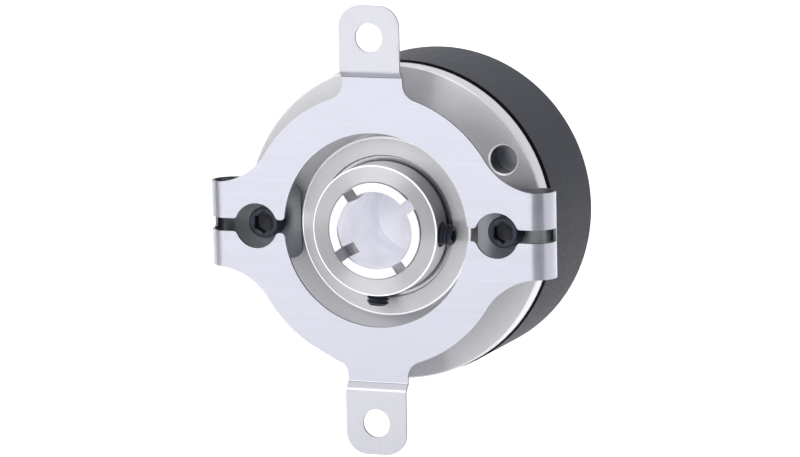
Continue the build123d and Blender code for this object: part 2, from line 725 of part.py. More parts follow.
with BuildPart() as sensor_chip:
    with BuildSketch(across(SENSOR_Y)) as sensor_face:
        with Locations((0, -(HEAD_INNER_R + SENSOR_OUTER_R) / 2)):
            Rectangle(HEAD_WIDTH, SENSOR_OUTER_R - HEAD_INNER_R)
    extrude(amount=-SENSOR_THICK)
save(sensor_chip, "sensor_chip")

# Circuit board, with holes for the studs, the connector pins and the light source's leads
with BuildPart() as circuit_board:
    with BuildSketch(across(BOARD_Y)) as board_face:
        Circle(BOARD_R)
        with PolarLocations(POST_RADIUS, POST_COUNT, POST_ANGLE):
            Circle(M3_CLEAR_D / 2, mode=Mode.SUBTRACT)
        Circle(PIN_D / 2, mode=Mode.SUBTRACT)
        with PolarLocations(PIN_CIRCLE_D / 2, PIN_RING_COUNT):
            Circle(PIN_D / 2, mode=Mode.SUBTRACT)
        with Locations((-LEAD_PITCH / 2, -LEAD_R), (LEAD_PITCH / 2, -LEAD_R)):
            Circle(LEAD_D / 2, mode=Mode.SUBTRACT)
    extrude(amount=-BOARD_THICK)
save(circuit_board, "circuit_board")

with BuildPart() as processor_chip:
    with BuildSketch(across(BOARD_BACK_Y)) as chip_face:
        with Locations((CHIP_X, CHIP_Z)):
            Rectangle(CHIP_SIZE, CHIP_SIZE)
    extrude(amount=-CHIP_HEIGHT)
save(processor_chip, "processor_chip")

with BuildPart() as line_driver:
    with BuildSketch(across(BOARD_BACK_Y)) as driver_face:
        with Locations((DRIVER_X, DRIVER_Z)):
            Rectangle(DRIVER_WIDTH, DRIVER_LENGTH)
    extrude(amount=-DRIVER_HEIGHT)
save(line_driver, "line_driver")

with BuildPart() as capacitors:
    with BuildSketch(across(BOARD_BACK_Y)) as capacitor_faces:
        with Locations((0, CAPACITOR_Z)):
            with GridLocations(CAPACITOR_PITCH, 0, CAPACITOR_COUNT, 1):
                Rectangle(CAPACITOR_WIDTH, CAPACITOR_LENGTH)
    extrude(amount=-CAPACITOR_HEIGHT)
save(capacitors, "capacitors")

# Hexagonal posts: the lower ones carry the board, the upper ones hold it down
with BuildPart() as lower_posts:
    with BuildSketch(across(SPIGOT_END_Y)) as lower_feet:
        with PolarLocations(POST_RADIUS, POST_COUNT, POST_ANGLE):
            RegularPolygon(POST_HEX / 2, 6, major_radius=False)
    extrude(amount=SPIGOT_END_Y - BOARD_Y)
    with BuildSketch(across(SPIGOT_END_Y)) as lower_studs:
        with PolarLocations(POST_RADIUS, POST_COUNT, POST_ANGLE):
            Circle(STUD_D / 2)
    extrude(amount=STUD_LENGTH)
    with BuildSketch(across(BOARD_Y)) as lower_threads:
        with PolarLocations(POST_RADIUS, POST_COUNT, POST_ANGLE):
            Circle(TAPPED_D / 2)
    extrude(amount=BOARD_STUD_LENGTH - BOARD_THICK + TAPPED_SPARE, mode=Mode.SUBTRACT)
save(lower_posts, "lower_posts")

with BuildPart() as upper_posts:
    with BuildSketch(across(BOARD_BACK_Y)) as upper_feet:
        with PolarLocations(POST_RADIUS, POST_COUNT, POST_ANGLE):
            RegularPolygon(POST_HEX / 2, 6, major_radius=False)
    extrude(amount=BOARD_BACK_Y - COVER_FLOOR_Y)
    with BuildSketch(across(BOARD_BACK_Y)) as upper_studs:
        with PolarLocations(POST_RADIUS, POST_COUNT, POST_ANGLE):
            Circle(STUD_D / 2)
    extrude(amount=BOARD_STUD_LENGTH)
    with BuildSketch(across(COVER_FLOOR_Y)) as upper_threads:
        with PolarLocations(POST_RADIUS, POST_COUNT, POST_ANGLE):
            Circle(TAPPED_D / 2)
    extrude(amount=COVER_SCREW_LENGTH - COVER_FLOOR + TAPPED_SPARE, mode=Mode.SUBTRACT)
save(upper_posts, "upper_posts")

# Rear cover, its seal against the flange and its screws
with BuildPart() as cover_seal:
    revolve(tube(SPIGOT_R, BODY_R + SEAL_PROUD, RIM_BACK_Y, COVER_Y), axis=Axis.Y)
save(cover_seal, "cover_seal")

with BuildPart() as rear_cover:
    with BuildSketch(Plane.XY) as cover_half:
        with BuildLine():
            Polyline(
                (COVER_BORE_R, COVER_Y),
                (COVER_R, COVER_Y),
                (COVER_R, COVER_END_Y),
                (0, COVER_END_Y),
                (0, COVER_FLOOR_Y),
                (COVER_BORE_R, COVER_FLOOR_Y),
                close=True,
            )
        make_face()
        rear_corner = cover_half.vertices().sort_by_distance((COVER_R, COVER_END_Y, 0))[0]
        fillet(rear_corner, radius=COVER_REAR_FILLET)
        front_corner = cover_half.vertices().sort_by_distance((COVER_R, COVER_Y, 0))[0]
        fillet(front_corner, radius=COVER_FRONT_FILLET)
    revolve(axis=Axis.Y)
    with BuildSketch(across(COVER_FLOOR_Y)) as cover_holes:
        Circle(PLUG_D / 2 + PLUG_HOLE_FIT)
        with PolarLocations(POST_RADIUS, POST_COUNT, POST_ANGLE):
            Circle(M3_CLEAR_D / 2)
    extrude(amount=-COVER_FLOOR, mode=Mode.SUBTRACT)
save(rear_cover, "rear_cover")

with BuildPart() as cover_screws:
    with BuildSketch(across(COVER_END_Y)) as cover_shanks:
        with PolarLocations(POST_RADIUS, POST_COUNT, POST_ANGLE):
            Circle(STUD_D / 2)
    extrude(amount=COVER_SCREW_LENGTH)
    with BuildSketch(across(COVER_END_Y)) as cover_heads:
        with PolarLocations(POST_RADIUS, POST_COUNT, POST_ANGLE):
            Circle(PAN_HEAD_D / 2)
    extrude(amount=-PAN_HEAD_H)
    chamfer(edges().group_by(Axis.Y)[-1], length=PAN_CHAMFER)
    with BuildSketch(across(COVER_END_Y + PAN_HEAD_H)) as cover_sockets:
        with PolarLocations(POST_RADIUS, POST_COUNT, POST_ANGLE):
            RegularPolygon(PAN_HEX / 2, 6, major_radius=False)
    extrude(amount=PAN_HEX_DEPTH, mode=Mode.SUBTRACT)
save(cover_screws, "cover_screws")

# Socket screws that hold the coupling's tabs on the flange pads, with their washers
with BuildPart() as coupling_screws:
    with BuildSketch(across(CAP_Y)) as cap_heads:
        with Locations((COUPLING_SCREW_X, 0), (-COUPLING_SCREW_X, 0)):
            Circle(CAP_HEAD_D / 2)
    extrude(amount=-CAP_HEAD_H)
    chamfer(edges().group_by(Axis.Y)[0], length=CAP_CHAMFER)
    with BuildSketch(across(CAP_Y)) as cap_sockets:
        with Locations((COUPLING_SCREW_X, 0), (-COUPLING_SCREW_X, 0)):
            RegularPolygon(CAP_HEX / 2, 6, rotation=30, major_radius=False)
    extrude(amount=-CAP_HEX_DEPTH, mode=Mode.SUBTRACT)
    with BuildSketch(across(WASHER_Y)) as cap_shanks:
        with Locations((COUPLING_SCREW_X, 0), (-COUPLING_SCREW_X, 0)):
            Circle(STUD_D / 2)
    extrude(amount=-M3_LENGTH)
save(coupling_screws, "coupling_screws")

with BuildPart() as coupling_washers:
    with BuildSketch(across(WASHER_Y)) as washer_faces:
        with Locations((COUPLING_SCREW_X, 0), (-COUPLING_SCREW_X, 0)):
            Circle(WASHER_D / 2)
            Circle(M3_CLEAR_D / 2, mode=Mode.SUBTRACT)
    extrude(amount=-WASHER_SHEET)
save(coupling_washers, "coupling_washers")

# Round connector in the middle of the cover's rear wall
with BuildPart() as plug_shell:
    body = section(
        (PLUG_BORE_D / 2, PLUG_START_Y),
        (PLUG_D / 2, PLUG_START_Y),
        (PLUG_D / 2, PLUG_FLANGE_Y),
        (PLUG_FLANGE_D / 2, PLUG_FLANGE_Y),
        (PLUG_FLANGE_D / 2, PLUG_THREAD_Y),
        (PLUG_D / 2, PLUG_THREAD_Y),
        (PLUG_D / 2, PLUG_END_Y - PLUG_CHAMFER),
        (PLUG_D / 2 - PLUG_CHAMFER, PLUG_END_Y),
        (PLUG_BORE_D / 2, PLUG_END_Y),
    )
    revolve(body, axis=Axis.Y)
save(plug_shell, "plug_shell")

with BuildPart() as plug_gasket:
    revolve(tube(PLUG_D / 2, PLUG_GASKET_D / 2, COVER_END_Y, PLUG_FLANGE_Y), axis=Axis.Y)
save(plug_gasket, "plug_gasket")

with BuildPart() as plug_insert:
    with BuildSketch(across(PLUG_START_Y)) as insert_face:
        Circle(PLUG_BORE_D / 2)
        Circle(PIN_D / 2, mode=Mode.SUBTRACT)
        with PolarLocations(PIN_CIRCLE_D / 2, PIN_RING_COUNT):
            Circle(PIN_D / 2, mode=Mode.SUBTRACT)
    extrude(amount=PLUG_START_Y - INSERT_END_Y)
save(plug_insert, "plug_insert")

with BuildPart() as plug_pins:
    with BuildSketch(across(BOARD_Y - SOLDER_TAIL)) as pin_faces:
        Circle(PIN_D / 2)
        with PolarLocations(PIN_CIRCLE_D / 2, PIN_RING_COUNT):
            Circle(PIN_D / 2)
    extrude(amount=BOARD_Y - SOLDER_TAIL - PLUG_END_Y + PIN_SETBACK)
save(plug_pins, "plug_pins")

with BuildPart() as plug_nut:
    with BuildSketch(across(COVER_FLOOR_Y - PLUG_NUT)) as nut_face:
        RegularPolygon(PLUG_NUT_HEX / 2, 6, major_radius=False)
        Circle(PLUG_D / 2, mode=Mode.SUBTRACT)
    extrude(amount=-PLUG_NUT)
save(plug_nut, "plug_nut")
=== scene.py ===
"""Studio picture of a hollow-shaft rotary encoder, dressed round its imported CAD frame.

Lengths of the pieces are in millimetres and become metres where a mesh is made. The studio is in
metres. The shaft axis lies along Y, the open end of the shaft faces -Y and +Z is up.

Faces that get a second finish are picked by their centre. BESIDE and SLACK are how far, in
millimetres, such a centre may lie from the surface or the space that is meant.
"""

import json
import logging
import math
from dataclasses import dataclass
from enum import Enum
from typing import Callable, Mapping, Sequence

import bmesh
import bpy
from mathutils import Matrix, Vector

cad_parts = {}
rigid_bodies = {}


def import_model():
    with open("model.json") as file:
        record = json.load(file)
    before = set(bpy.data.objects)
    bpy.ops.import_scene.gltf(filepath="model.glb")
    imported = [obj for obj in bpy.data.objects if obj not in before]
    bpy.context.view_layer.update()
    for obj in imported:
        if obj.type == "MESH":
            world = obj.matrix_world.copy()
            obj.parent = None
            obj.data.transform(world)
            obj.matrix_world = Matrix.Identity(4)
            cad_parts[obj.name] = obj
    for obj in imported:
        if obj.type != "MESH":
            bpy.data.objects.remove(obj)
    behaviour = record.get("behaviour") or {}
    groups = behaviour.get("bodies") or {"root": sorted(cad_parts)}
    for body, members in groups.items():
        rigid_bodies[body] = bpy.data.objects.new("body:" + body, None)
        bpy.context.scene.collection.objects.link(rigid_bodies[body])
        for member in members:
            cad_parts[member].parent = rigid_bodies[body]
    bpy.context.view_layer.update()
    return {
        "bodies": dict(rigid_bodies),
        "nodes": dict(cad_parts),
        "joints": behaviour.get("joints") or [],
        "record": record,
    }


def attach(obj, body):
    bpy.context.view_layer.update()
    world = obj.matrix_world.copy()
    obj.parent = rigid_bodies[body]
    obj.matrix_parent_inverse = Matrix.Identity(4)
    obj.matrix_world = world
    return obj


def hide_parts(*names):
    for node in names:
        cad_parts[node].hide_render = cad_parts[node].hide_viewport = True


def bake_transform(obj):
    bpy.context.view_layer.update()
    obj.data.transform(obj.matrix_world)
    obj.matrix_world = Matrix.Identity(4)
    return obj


MM = 0.001
PHOTO_WIDTH = 800
SENSOR_WIDTH = 36.0
SHARP_EDGE = 28.0
BESIDE = 0.02
SLACK = 0.1
LOG = logging.getLogger("encoder")

Corner = tuple[float, float, float]
Point = tuple[float, float]
Edges = tuple[float, float, float, float]
Piece = bpy.types.Object
Tree = bpy.types.NodeTree
Socket = bpy.types.NodeSocket


class Body(Enum):
    """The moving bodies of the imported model."""

    COUPLING = "coupling"
    HOUSING = "housing"
    ROTOR = "rotor"
    SIDE_SCREW = "side_screw"
    BOTTOM_SCREW = "bottom_screw"


class Grain(Enum):
    """How the marks of a metal finish run."""

    ROUND = "round"
    LEVEL = "level"
    UPRIGHT = "upright"
    PLAIN = "plain"


class Side(Enum):
    """Faces of the spring sheet that differ in finish, as places in its list of materials."""

    OUTER = 0
    # Faces that take the darker steel as painted shade: fold insides, tab backs, cut edges, a band
    # in the ears' first bend.
    PAINTED_SHADE = 1
    EAR = 2


# Outlines and meshes


def arc(centre: Point, radius: float, start: float, end: float, steps: int) -> list[Point]:
    """Points along an arc.

    Args:
        centre: centre of the arc.
        radius: its radius.
        start: first angle in degrees.
        end: last angle in degrees.
        steps: number of straight pieces.

    Returns:
        The points, both ends included.
    """
    points = []
    for step in range(steps + 1):
        turn = math.radians(start + (end - start) * step / steps)
        points.append((centre[0] + radius * math.cos(turn), centre[1] + radius * math.sin(turn)))
    return points


def rounded(corners: Sequence[Corner], steps: int = 5) -> list[Point]:
    """Closed outline whose corners are rounded.

    Args:
        corners: (first, second, radius) for each corner.
        steps: straight pieces in each rounded corner.

    Returns:
        The outline's points in order.
    """
    outline: list[Point] = []
    for index, (first, second, radius) in enumerate(corners):
        here = Vector((first, second))
        if radius <= 0:
            outline.append((first, second))
            continue
        before = Vector(corners[index - 1][:2]) - here
        after = Vector(corners[(index + 1) % len(corners)][:2]) - here
        before.normalize()
        after.normalize()
        half = before.angle(after) / 2
        reach = radius / math.tan(half)
        centre = here + (before + after).normalized() * (radius / math.sin(half))
        start = here + before * reach - centre
        end = here + after * reach - centre
        sweep = start.angle_signed(end)
        for step in range(steps + 1):
            spoke = start.copy()
            spoke.rotate(Matrix.Rotation(-sweep * step / steps, 2))
            outline.append(tuple(centre + spoke))
    return outline


def smooth(mesh: bpy.types.Mesh) -> None:
    """Shade a mesh smooth, except along its real edges."""
    mesh.shade_smooth()
    mesh.set_sharp_from_angle(angle=math.radians(SHARP_EDGE))


def placed(name: str, data: bpy.types.ID) -> Piece:
    """Object in the scene for a mesh, a camera or a light.

    Args:
        name: the object's name.
        data: its data.

    Returns:
        The new object.
    """
    obj = bpy.data.objects.new(name, data)
    bpy.context.scene.collection.objects.link(obj)
    return obj


def finished(name: str, shape: bmesh.types.BMesh) -> Piece:
    """Smooth object with a shape, which is used up.

    Args:
        name: the object's name.
        shape: the shape, which is freed.

    Returns:
        The new object.
    """
    mesh = bpy.data.meshes.new(name)
    shape.to_mesh(mesh)
    shape.free()
    smooth(mesh)
    return placed(name, mesh)


def weigh_normals(obj: Piece) -> None:
    """Let large flat faces keep flat shading beside small rounded edges.

    Args:
        obj: the piece.
    """
    modifier = obj.modifiers.new("normals", "WEIGHTED_NORMAL")
    modifier.keep_sharp = True
    modifier.weight = 80


def stack(name: str, rings: Sequence[Sequence[Vector]], closed: bool) -> Piece:
    """Skin over rings of points.

    Args:
        name: the object's name.
        rings: rings in order, in millimetres. A ring of one point is a pole.
        closed: whether the last ring joins the first.

    Returns:
        The new object.
    """
    shape = bmesh.new()
    rows = [[shape.verts.new(point * MM) for point in ring] for ring in rings]
    pairs = list(zip(rows, rows[1:]))
    if closed:
        pairs.append((rows[-1], rows[0]))
    for low, high in pairs:
        count = max(len(low), len(high))
        for index in range(count):
            following = (index + 1) % count
            corners = [low[index % len(low)], low[following % len(low)]]
            corners += [high[following % len(high)], high[index % len(high)]]
            unique = list(dict.fromkeys(corners))
            if len(unique) > 2:
                shape.faces.new(unique)
    bmesh.ops.recalc_face_normals(shape, faces=shape.faces)
    return finished(name, shape)


def turned(name: str, corners: Sequence[Corner], segments: int = 192, steps: int = 5) -> Piece:
    """Piece turned about the shaft axis.

    Args:
        name: the object's name.
        corners: (radius, depth, rounding) for each corner of its half section.
        segments: pieces round the axis.
        steps: pieces in each rounded corner.

    Returns:
        The new object.
    """
    rings = []
    for radius, depth in rounded(corners, steps):
        on_axis = radius < 1e-6
        rings.append([Vector((0, depth, 0))] if on_axis else circle(radius, depth, segments))
    obj = stack(name, rings, closed=True)
    weigh_normals(obj)
    return obj


def tube(
    name: str,
    radii: Point,
    depths: Point,
    edges: Edges = (0.0, 0.0, 0.0, 0.0),
    segments: int = 192,
) -> Piece:
    """Ring, or rod if its inner radius is zero, about the shaft axis.

    Args:
        name: the object's name.
        radii: inner and outer radius.
        depths: where it starts and ends.
        edges: rounding of its inner and outer front edges, then of its outer and inner rear ones.
        segments: pieces round the axis.

    Returns:
        The new object.
    """
    (inner, outer), (start, end) = radii, depths
    section = ((inner, start), (outer, start), (outer, end), (inner, end))
    return turned(name, [(*spot, edge) for spot, edge in zip(section, edges)], segments)


def shift(obj: Piece, x: float, z: float = 0.0) -> Piece:
    """Move a piece across the shaft axis, in millimetres."""
    obj.data.transform(Matrix.Translation(Vector((x, 0, z)) * MM))
    return obj


def stand(obj: Piece, place: Vector, axis: Vector) -> Piece:
    """Move a piece made about +Y so that its axis runs along another line.

    Args:
        obj: the piece, made about the Y axis.
        place: where its origin goes, in millimetres.
        axis: where its +Y goes.

    Returns:
        The same object.
    """
    swing = Vector((0, 1, 0)).rotation_difference(axis.normalized()).to_matrix().to_4x4()
    obj.data.transform(Matrix.Translation(place * MM) @ swing)
    return obj


def cut(obj: Piece, cutters: Sequence[Piece]) -> Piece:
    """Take other solids out of a piece, then delete them.

    Args:
        obj: the piece.
        cutters: closed meshes to take out of it.

    Returns:
        The same object.
    """
    for cutter in cutters:
        cutter.modifiers.clear()
        modifier = obj.modifiers.new("cut", "BOOLEAN")
        modifier.operation = "DIFFERENCE"
        modifier.solver = "EXACT"
        modifier.object = cutter
    for modifier in [m for m in obj.modifiers if m.type == "WEIGHTED_NORMAL"]:
        obj.modifiers.remove(modifier)
    bpy.context.view_layer.update()
    evaluated = obj.evaluated_get(bpy.context.evaluated_depsgraph_get())
    mesh = bpy.data.meshes.new_from_object(evaluated)
    obj.modifiers.clear()
    obj.data = mesh
    smooth(mesh)
    weigh_normals(obj)
    for cutter in cutters:
        bpy.data.objects.remove(cutter)
    return obj


def join(name: str, pieces: Sequence[Piece]) -> Piece:
    """One object with the meshes of several pieces that share a finish.

    Args:
        name: the new object's name.
        pieces: objects to join. They are deleted.

    Returns:
        The new object.
    """
    shape = bmesh.new()
    for piece in pieces:
        shape.from_mesh(piece.data)
        bpy.data.objects.remove(piece)
    obj = finished(name, shape)
    weigh_normals(obj)
    return obj


def about_axis(radius: float, depth: float, turn: float) -> Vector:
    """Point beside the Y axis, turned about it by an angle in radians."""
    return Vector((radius * math.cos(turn), depth, radius * math.sin(turn)))


def circle(radius: float, depth: float, segments: int) -> list[Vector]:
    """Ring of points on a circle about the Y axis."""
    return [about_axis(radius, depth, math.tau * step / segments) for step in range(segments)]


def hexagon(across_flats: float, depth: float, segments: int) -> list[Vector]:
    """Ring of points on a hexagon about the Y axis.

    Args:
        across_flats: distance between opposite sides.
        depth: place along Y.
        segments: number of points, a multiple of six.

    Returns:
        The points.
    """
    ring = []
    for step in range(segments):
        turn = math.tau * step / segments
        from_middle = turn % (math.pi / 3) - math.pi / 6
        ring.append(about_axis(across_flats / 2 / math.cos(from_middle), depth, turn))
    return ring


def hex_socket(
    across_flats: float, top: float, depth: float, mouth: Point, segments: int
) -> list[list[Vector]]:
    """Rings that lead down into a hexagonal socket.

    Args:
        across_flats: distance between its opposite sides.
        top: place of its mouth along Y.
        depth: how deep the hexagon goes.
        mouth: width and height of the chamfer at its mouth.
        segments: number of points in a ring, a multiple of six.

    Returns:
        The rings, without the socket's closed end.
    """
    return [
        circle(across_flats / 2 + mouth[0], top, segments),
        hexagon(across_flats, top - mouth[1], segments),
        hexagon(across_flats, top - depth, segments),
    ]


def thread_ring(
    depth: float, pitch: float, segments: int, flank: Point, radius_at: Callable[[float], float]
) -> list[Vector]:
    """Ring of points on a screw thread about the Y axis.

    Args:
        depth: place along Y.
        pitch: distance between turns, negative for the other hand.
        segments: number of points.
        flank: steepness of the flanks, and how far the groove's floor cuts them off.
        radius_at: gives the radius for a height from 0 in the groove to 1 on the ridge.

    Returns:
        The points.
    """
    ring = []
    for step in range(segments):
        phase = (depth / pitch - step / segments) % 1.0
        height = flank[0] * (0.5 - abs(phase - 0.5)) - flank[1]
        radius = radius_at(max(0.0, min(1.0, height)))
        ring.append(about_axis(radius, depth, math.tau * step / segments))
    return ring


# Shader nodes that the finishes share


def add_node(
    tree: Tree, kind: str, inputs: dict[str | int, object], operation: str = ""
) -> bpy.types.Node:
    """Node with its inputs set or joined.

    Args:
        tree: the node tree.
        kind: the node's type.
        inputs: value or socket for each input, by its name or place.
        operation: what a math node does.

    Returns:
        The new node.
    """
    node = tree.nodes.new(kind)
    if operation:
        node.operation = operation
    for label, value in inputs.items():
        if isinstance(value, Socket):
            tree.links.new(value, node.inputs[label])
        else:
            node.inputs[label].default_value = value
    return node


def principled(
    name: str, values: dict[str, object]
) -> tuple[bpy.types.Material, Tree, bpy.types.Node]:
    """Material with a principled shader.

    Args:
        name: the material's name.
        values: numbers and colours by the names of the shader's inputs.

    Returns:
        The material, its nodes and the shader.
    """
    material = bpy.data.materials.new(name)
    material.use_nodes = True
    tree = material.node_tree
    shader = tree.nodes["Principled BSDF"]
    for label, value in values.items():
        shader.inputs[label].default_value = value
    return material, tree, shader


class Marks:
    """Node groups for the marks that machining and coating leave on a surface."""

    def __init__(self) -> None:
        """Build each group once."""
        self.rings = self._rings()
        self.level = self._streaks("level_streaks", (25.0, 25.0, 2600.0))
        self.upright = self._streaks("upright_streaks", (2600.0, 25.0, 25.0))
        self.speckle = self._speckle()

    @staticmethod
    def _group(name: str, inputs: dict[str, float]) -> tuple[Tree, Mapping, Mapping, Socket]:
        """Group with named number inputs and the outputs that every mark has.

        Args:
            name: the group's name.
            inputs: input names with their usual values.

        Returns:
            The group, what is given to it, what it results in and the place on the object.
        """
        tree = bpy.data.node_groups.new(name, "ShaderNodeTree")
        number = "NodeSocketFloat"
        for label, value in inputs.items():
            socket = tree.interface.new_socket(label, in_out="INPUT", socket_type=number)
            socket.default_value = value
        for label in ("Height", "Mask"):
            tree.interface.new_socket(label, in_out="OUTPUT", socket_type=number)
        given = tree.nodes.new("NodeGroupInput").outputs
        result = tree.nodes.new("NodeGroupOutput").inputs
        place = tree.nodes.new("ShaderNodeTexCoord").outputs["Object"]
        return tree, given, result, place

    @staticmethod
    def _math(tree: Tree, operation: str, *values: object) -> Socket:
        """Result of a math node for one or two sockets or numbers."""
        return add_node(tree, "ShaderNodeMath", dict(enumerate(values)), operation).outputs[0]

    @staticmethod
    def _scaled(tree: Tree, place: Socket, scale: Socket) -> Socket:
        """A place times a number."""
        inputs = {0: place, "Scale": scale}
        return add_node(tree, "ShaderNodeVectorMath", inputs, "SCALE").outputs[0]

    @staticmethod
    def _noise(tree: Tree, place: Socket, scale: float, detail: float) -> Socket:
        """Noise texture read at a place.

        Args:
            tree: the node tree.
            place: where it is read.
            scale: how fine it is.
            detail: how many finer layers it has.

        Returns:
            Its value, from 0 to 1.
        """
        inputs = {"Scale": scale, "Detail": detail, "Vector": place}
        return add_node(tree, "ShaderNodeTexNoise", inputs).outputs["Fac"]

    def _rings(self) -> Tree:
        """Fine rings about the shaft axis, as a lathe leaves them.

        Returns:
            The group.
        """
        tree, given, result, place = self._group("turning_rings", {"Pitch": 0.15, "Drift": 0.5})
        split = add_node(tree, "ShaderNodeSeparateXYZ", {0: place}).outputs
        squares = [self._math(tree, "POWER", split[axis], 2.0) for axis in ("X", "Z")]
        radius = self._math(tree, "SQRT", self._math(tree, "ADD", *squares))
        along = self._math(tree, "ADD", radius, split["Y"])
        pitch = self._math(tree, "MULTIPLY", given["Pitch"], MM)
        turns = self._math(tree, "DIVIDE", along, pitch)
        spot = add_node(tree, "ShaderNodeCombineXYZ", {"X": turns}).outputs[0]
        fine = self._noise(tree, spot, 1.0, 3.0)
        drift = self._noise(tree, place, 60.0, 2.0)
        share = self._math(tree, "MULTIPLY", drift, given["Drift"])
        tree.links.new(fine, result["Height"])
        tree.links.new(self._math(tree, "ADD", fine, share), result["Mask"])
        return tree

    def _streaks(self, name: str, scale: Sequence[float]) -> Tree:
        """Brushed streaks.

        Args:
            name: the group's name.
            scale: how fine the streaks are along X, Y and Z. They run where it is small.

        Returns:
            The group.
        """
        tree, given, result, place = self._group(name, {"Fineness": 1.0})
        stretch = add_node(tree, "ShaderNodeVectorMath", {0: place, 1: scale}, "MULTIPLY")
        sized = self._scaled(tree, stretch.outputs[0], given["Fineness"])
        streaks = self._noise(tree, sized, 1.0, 4.0)
        for label in ("Height", "Mask"):
            tree.links.new(streaks, result[label])
        return tree

    def _speckle(self) -> Tree:
        """Fine bumps, as powder coat or cast plastic has.

        Returns:
            The group.
        """
        tree, given, result, place = self._group("speckle", {"Size": 0.3})
        size = self._math(tree, "MULTIPLY", given["Size"], MM)
        count = self._math(tree, "DIVIDE", 1.0, size)
        fine = self._noise(tree, self._scaled(tree, place, count), 1.0, 2.0)
        for label in ("Height", "Mask"):
            tree.links.new(fine, result[label])
        return tree


@dataclass(frozen=True)
class Finish:
    """One surface finish.

    Args:
        name: the material's name.
        colour: base colour, linear.
        metallic: 1 for bare metal.
        roughness: lowest and highest roughness, spread by the marks.
        grain: which marks the surface has.
        tint: how far the marks darken the colour.
        bump: height of the marks in millimetres.
        mark_size: pitch, fineness or size that the marks' group takes.
        stretch: anisotropy of the reflections.
        around: axis that the marks run round, for the reflections.
        swing: turn of the stretched reflections against that direction, as a share of a circle.
        clear: share of light that passes through, for glass.
        gloss: specular level.
    """

    name: str
    colour: tuple[float, float, float]
    metallic: float = 1.0
    roughness: tuple[float, float] = (0.3, 0.4)
    grain: Grain = Grain.PLAIN
    tint: float = 0.0
    bump: float = 0.0
    mark_size: float = 0.3
    stretch: float = 0.0
    around: str = "Y"
    swing: float = 0.25
    clear: float = 0.0
    gloss: float = 0.5

    def material(self, marks: Marks) -> bpy.types.Material:
        """Material with this finish.

        Args:
            marks: the shared node groups.

        Returns:
            The new material.
        """
        values = {
            "Base Color": (*self.colour, 1.0),
            "Metallic": self.metallic,
            "Roughness": self.roughness[0],
            "Anisotropic": self.stretch,
            "Transmission Weight": self.clear,
            "Specular IOR Level": self.gloss,
        }
        material, tree, shader = principled(self.name, values)
        if self.stretch:
            tangent = tree.nodes.new("ShaderNodeTangent")
            tangent.direction_type = "RADIAL"
            tangent.axis = self.around
            tree.links.new(tangent.outputs[0], shader.inputs["Tangent"])
            shader.inputs["Anisotropic Rotation"].default_value = self.swing
        if self.bump or self.tint:
            self._mark(tree, shader, marks)
        return material

    @staticmethod
    def _spread(tree: Tree, mask: Socket, low: float, high: float) -> Socket:
        """Stretch a mask's usual range over other numbers.

        Args:
            tree: the material's nodes.
            mask: the marks' mask, which stays mostly between 0.3 and 0.7.
            low: result at its low end.
            high: result at its high end.

        Returns:
            The socket with the result.
        """
        inputs = {"Value": mask, "From Min": 0.3, "From Max": 0.7, "To Min": low, "To Max": high}
        return add_node(tree, "ShaderNodeMapRange", inputs).outputs["Result"]

    def _mark(self, tree: Tree, shader: bpy.types.Node, marks: Marks) -> None:
        """Place the marks' group and lead it to the shader.

        Args:
            tree: the material's nodes.
            shader: its principled shader.
            marks: the shared node groups.
        """
        group = tree.nodes.new("ShaderNodeGroup")
        group.node_tree = {
            Grain.ROUND: marks.rings,
            Grain.LEVEL: marks.level,
            Grain.UPRIGHT: marks.upright,
            Grain.PLAIN: marks.speckle,
        }[self.grain]
        group.inputs[0].default_value = self.mark_size
        mask = group.outputs["Mask"]
        tree.links.new(self._spread(tree, mask, *self.roughness), shader.inputs["Roughness"])
        shade = tree.nodes.new("ShaderNodeMix")
        shade.data_type = "RGBA"
        shade.inputs[6].default_value = (*(c * (1 - self.tint) for c in self.colour), 1.0)
        shade.inputs[7].default_value = (*self.colour, 1.0)
        tree.links.new(self._spread(tree, mask, 0.0, 1.0), shade.inputs["Factor"])
        tree.links.new(shade.outputs[2], shader.inputs["Base Color"])
        inputs = {"Distance": self.bump * MM, "Height": group.outputs["Height"]}
        bump = add_node(tree, "ShaderNodeBump", inputs)
        tree.links.new(bump.outputs["Normal"], shader.inputs["Normal"])


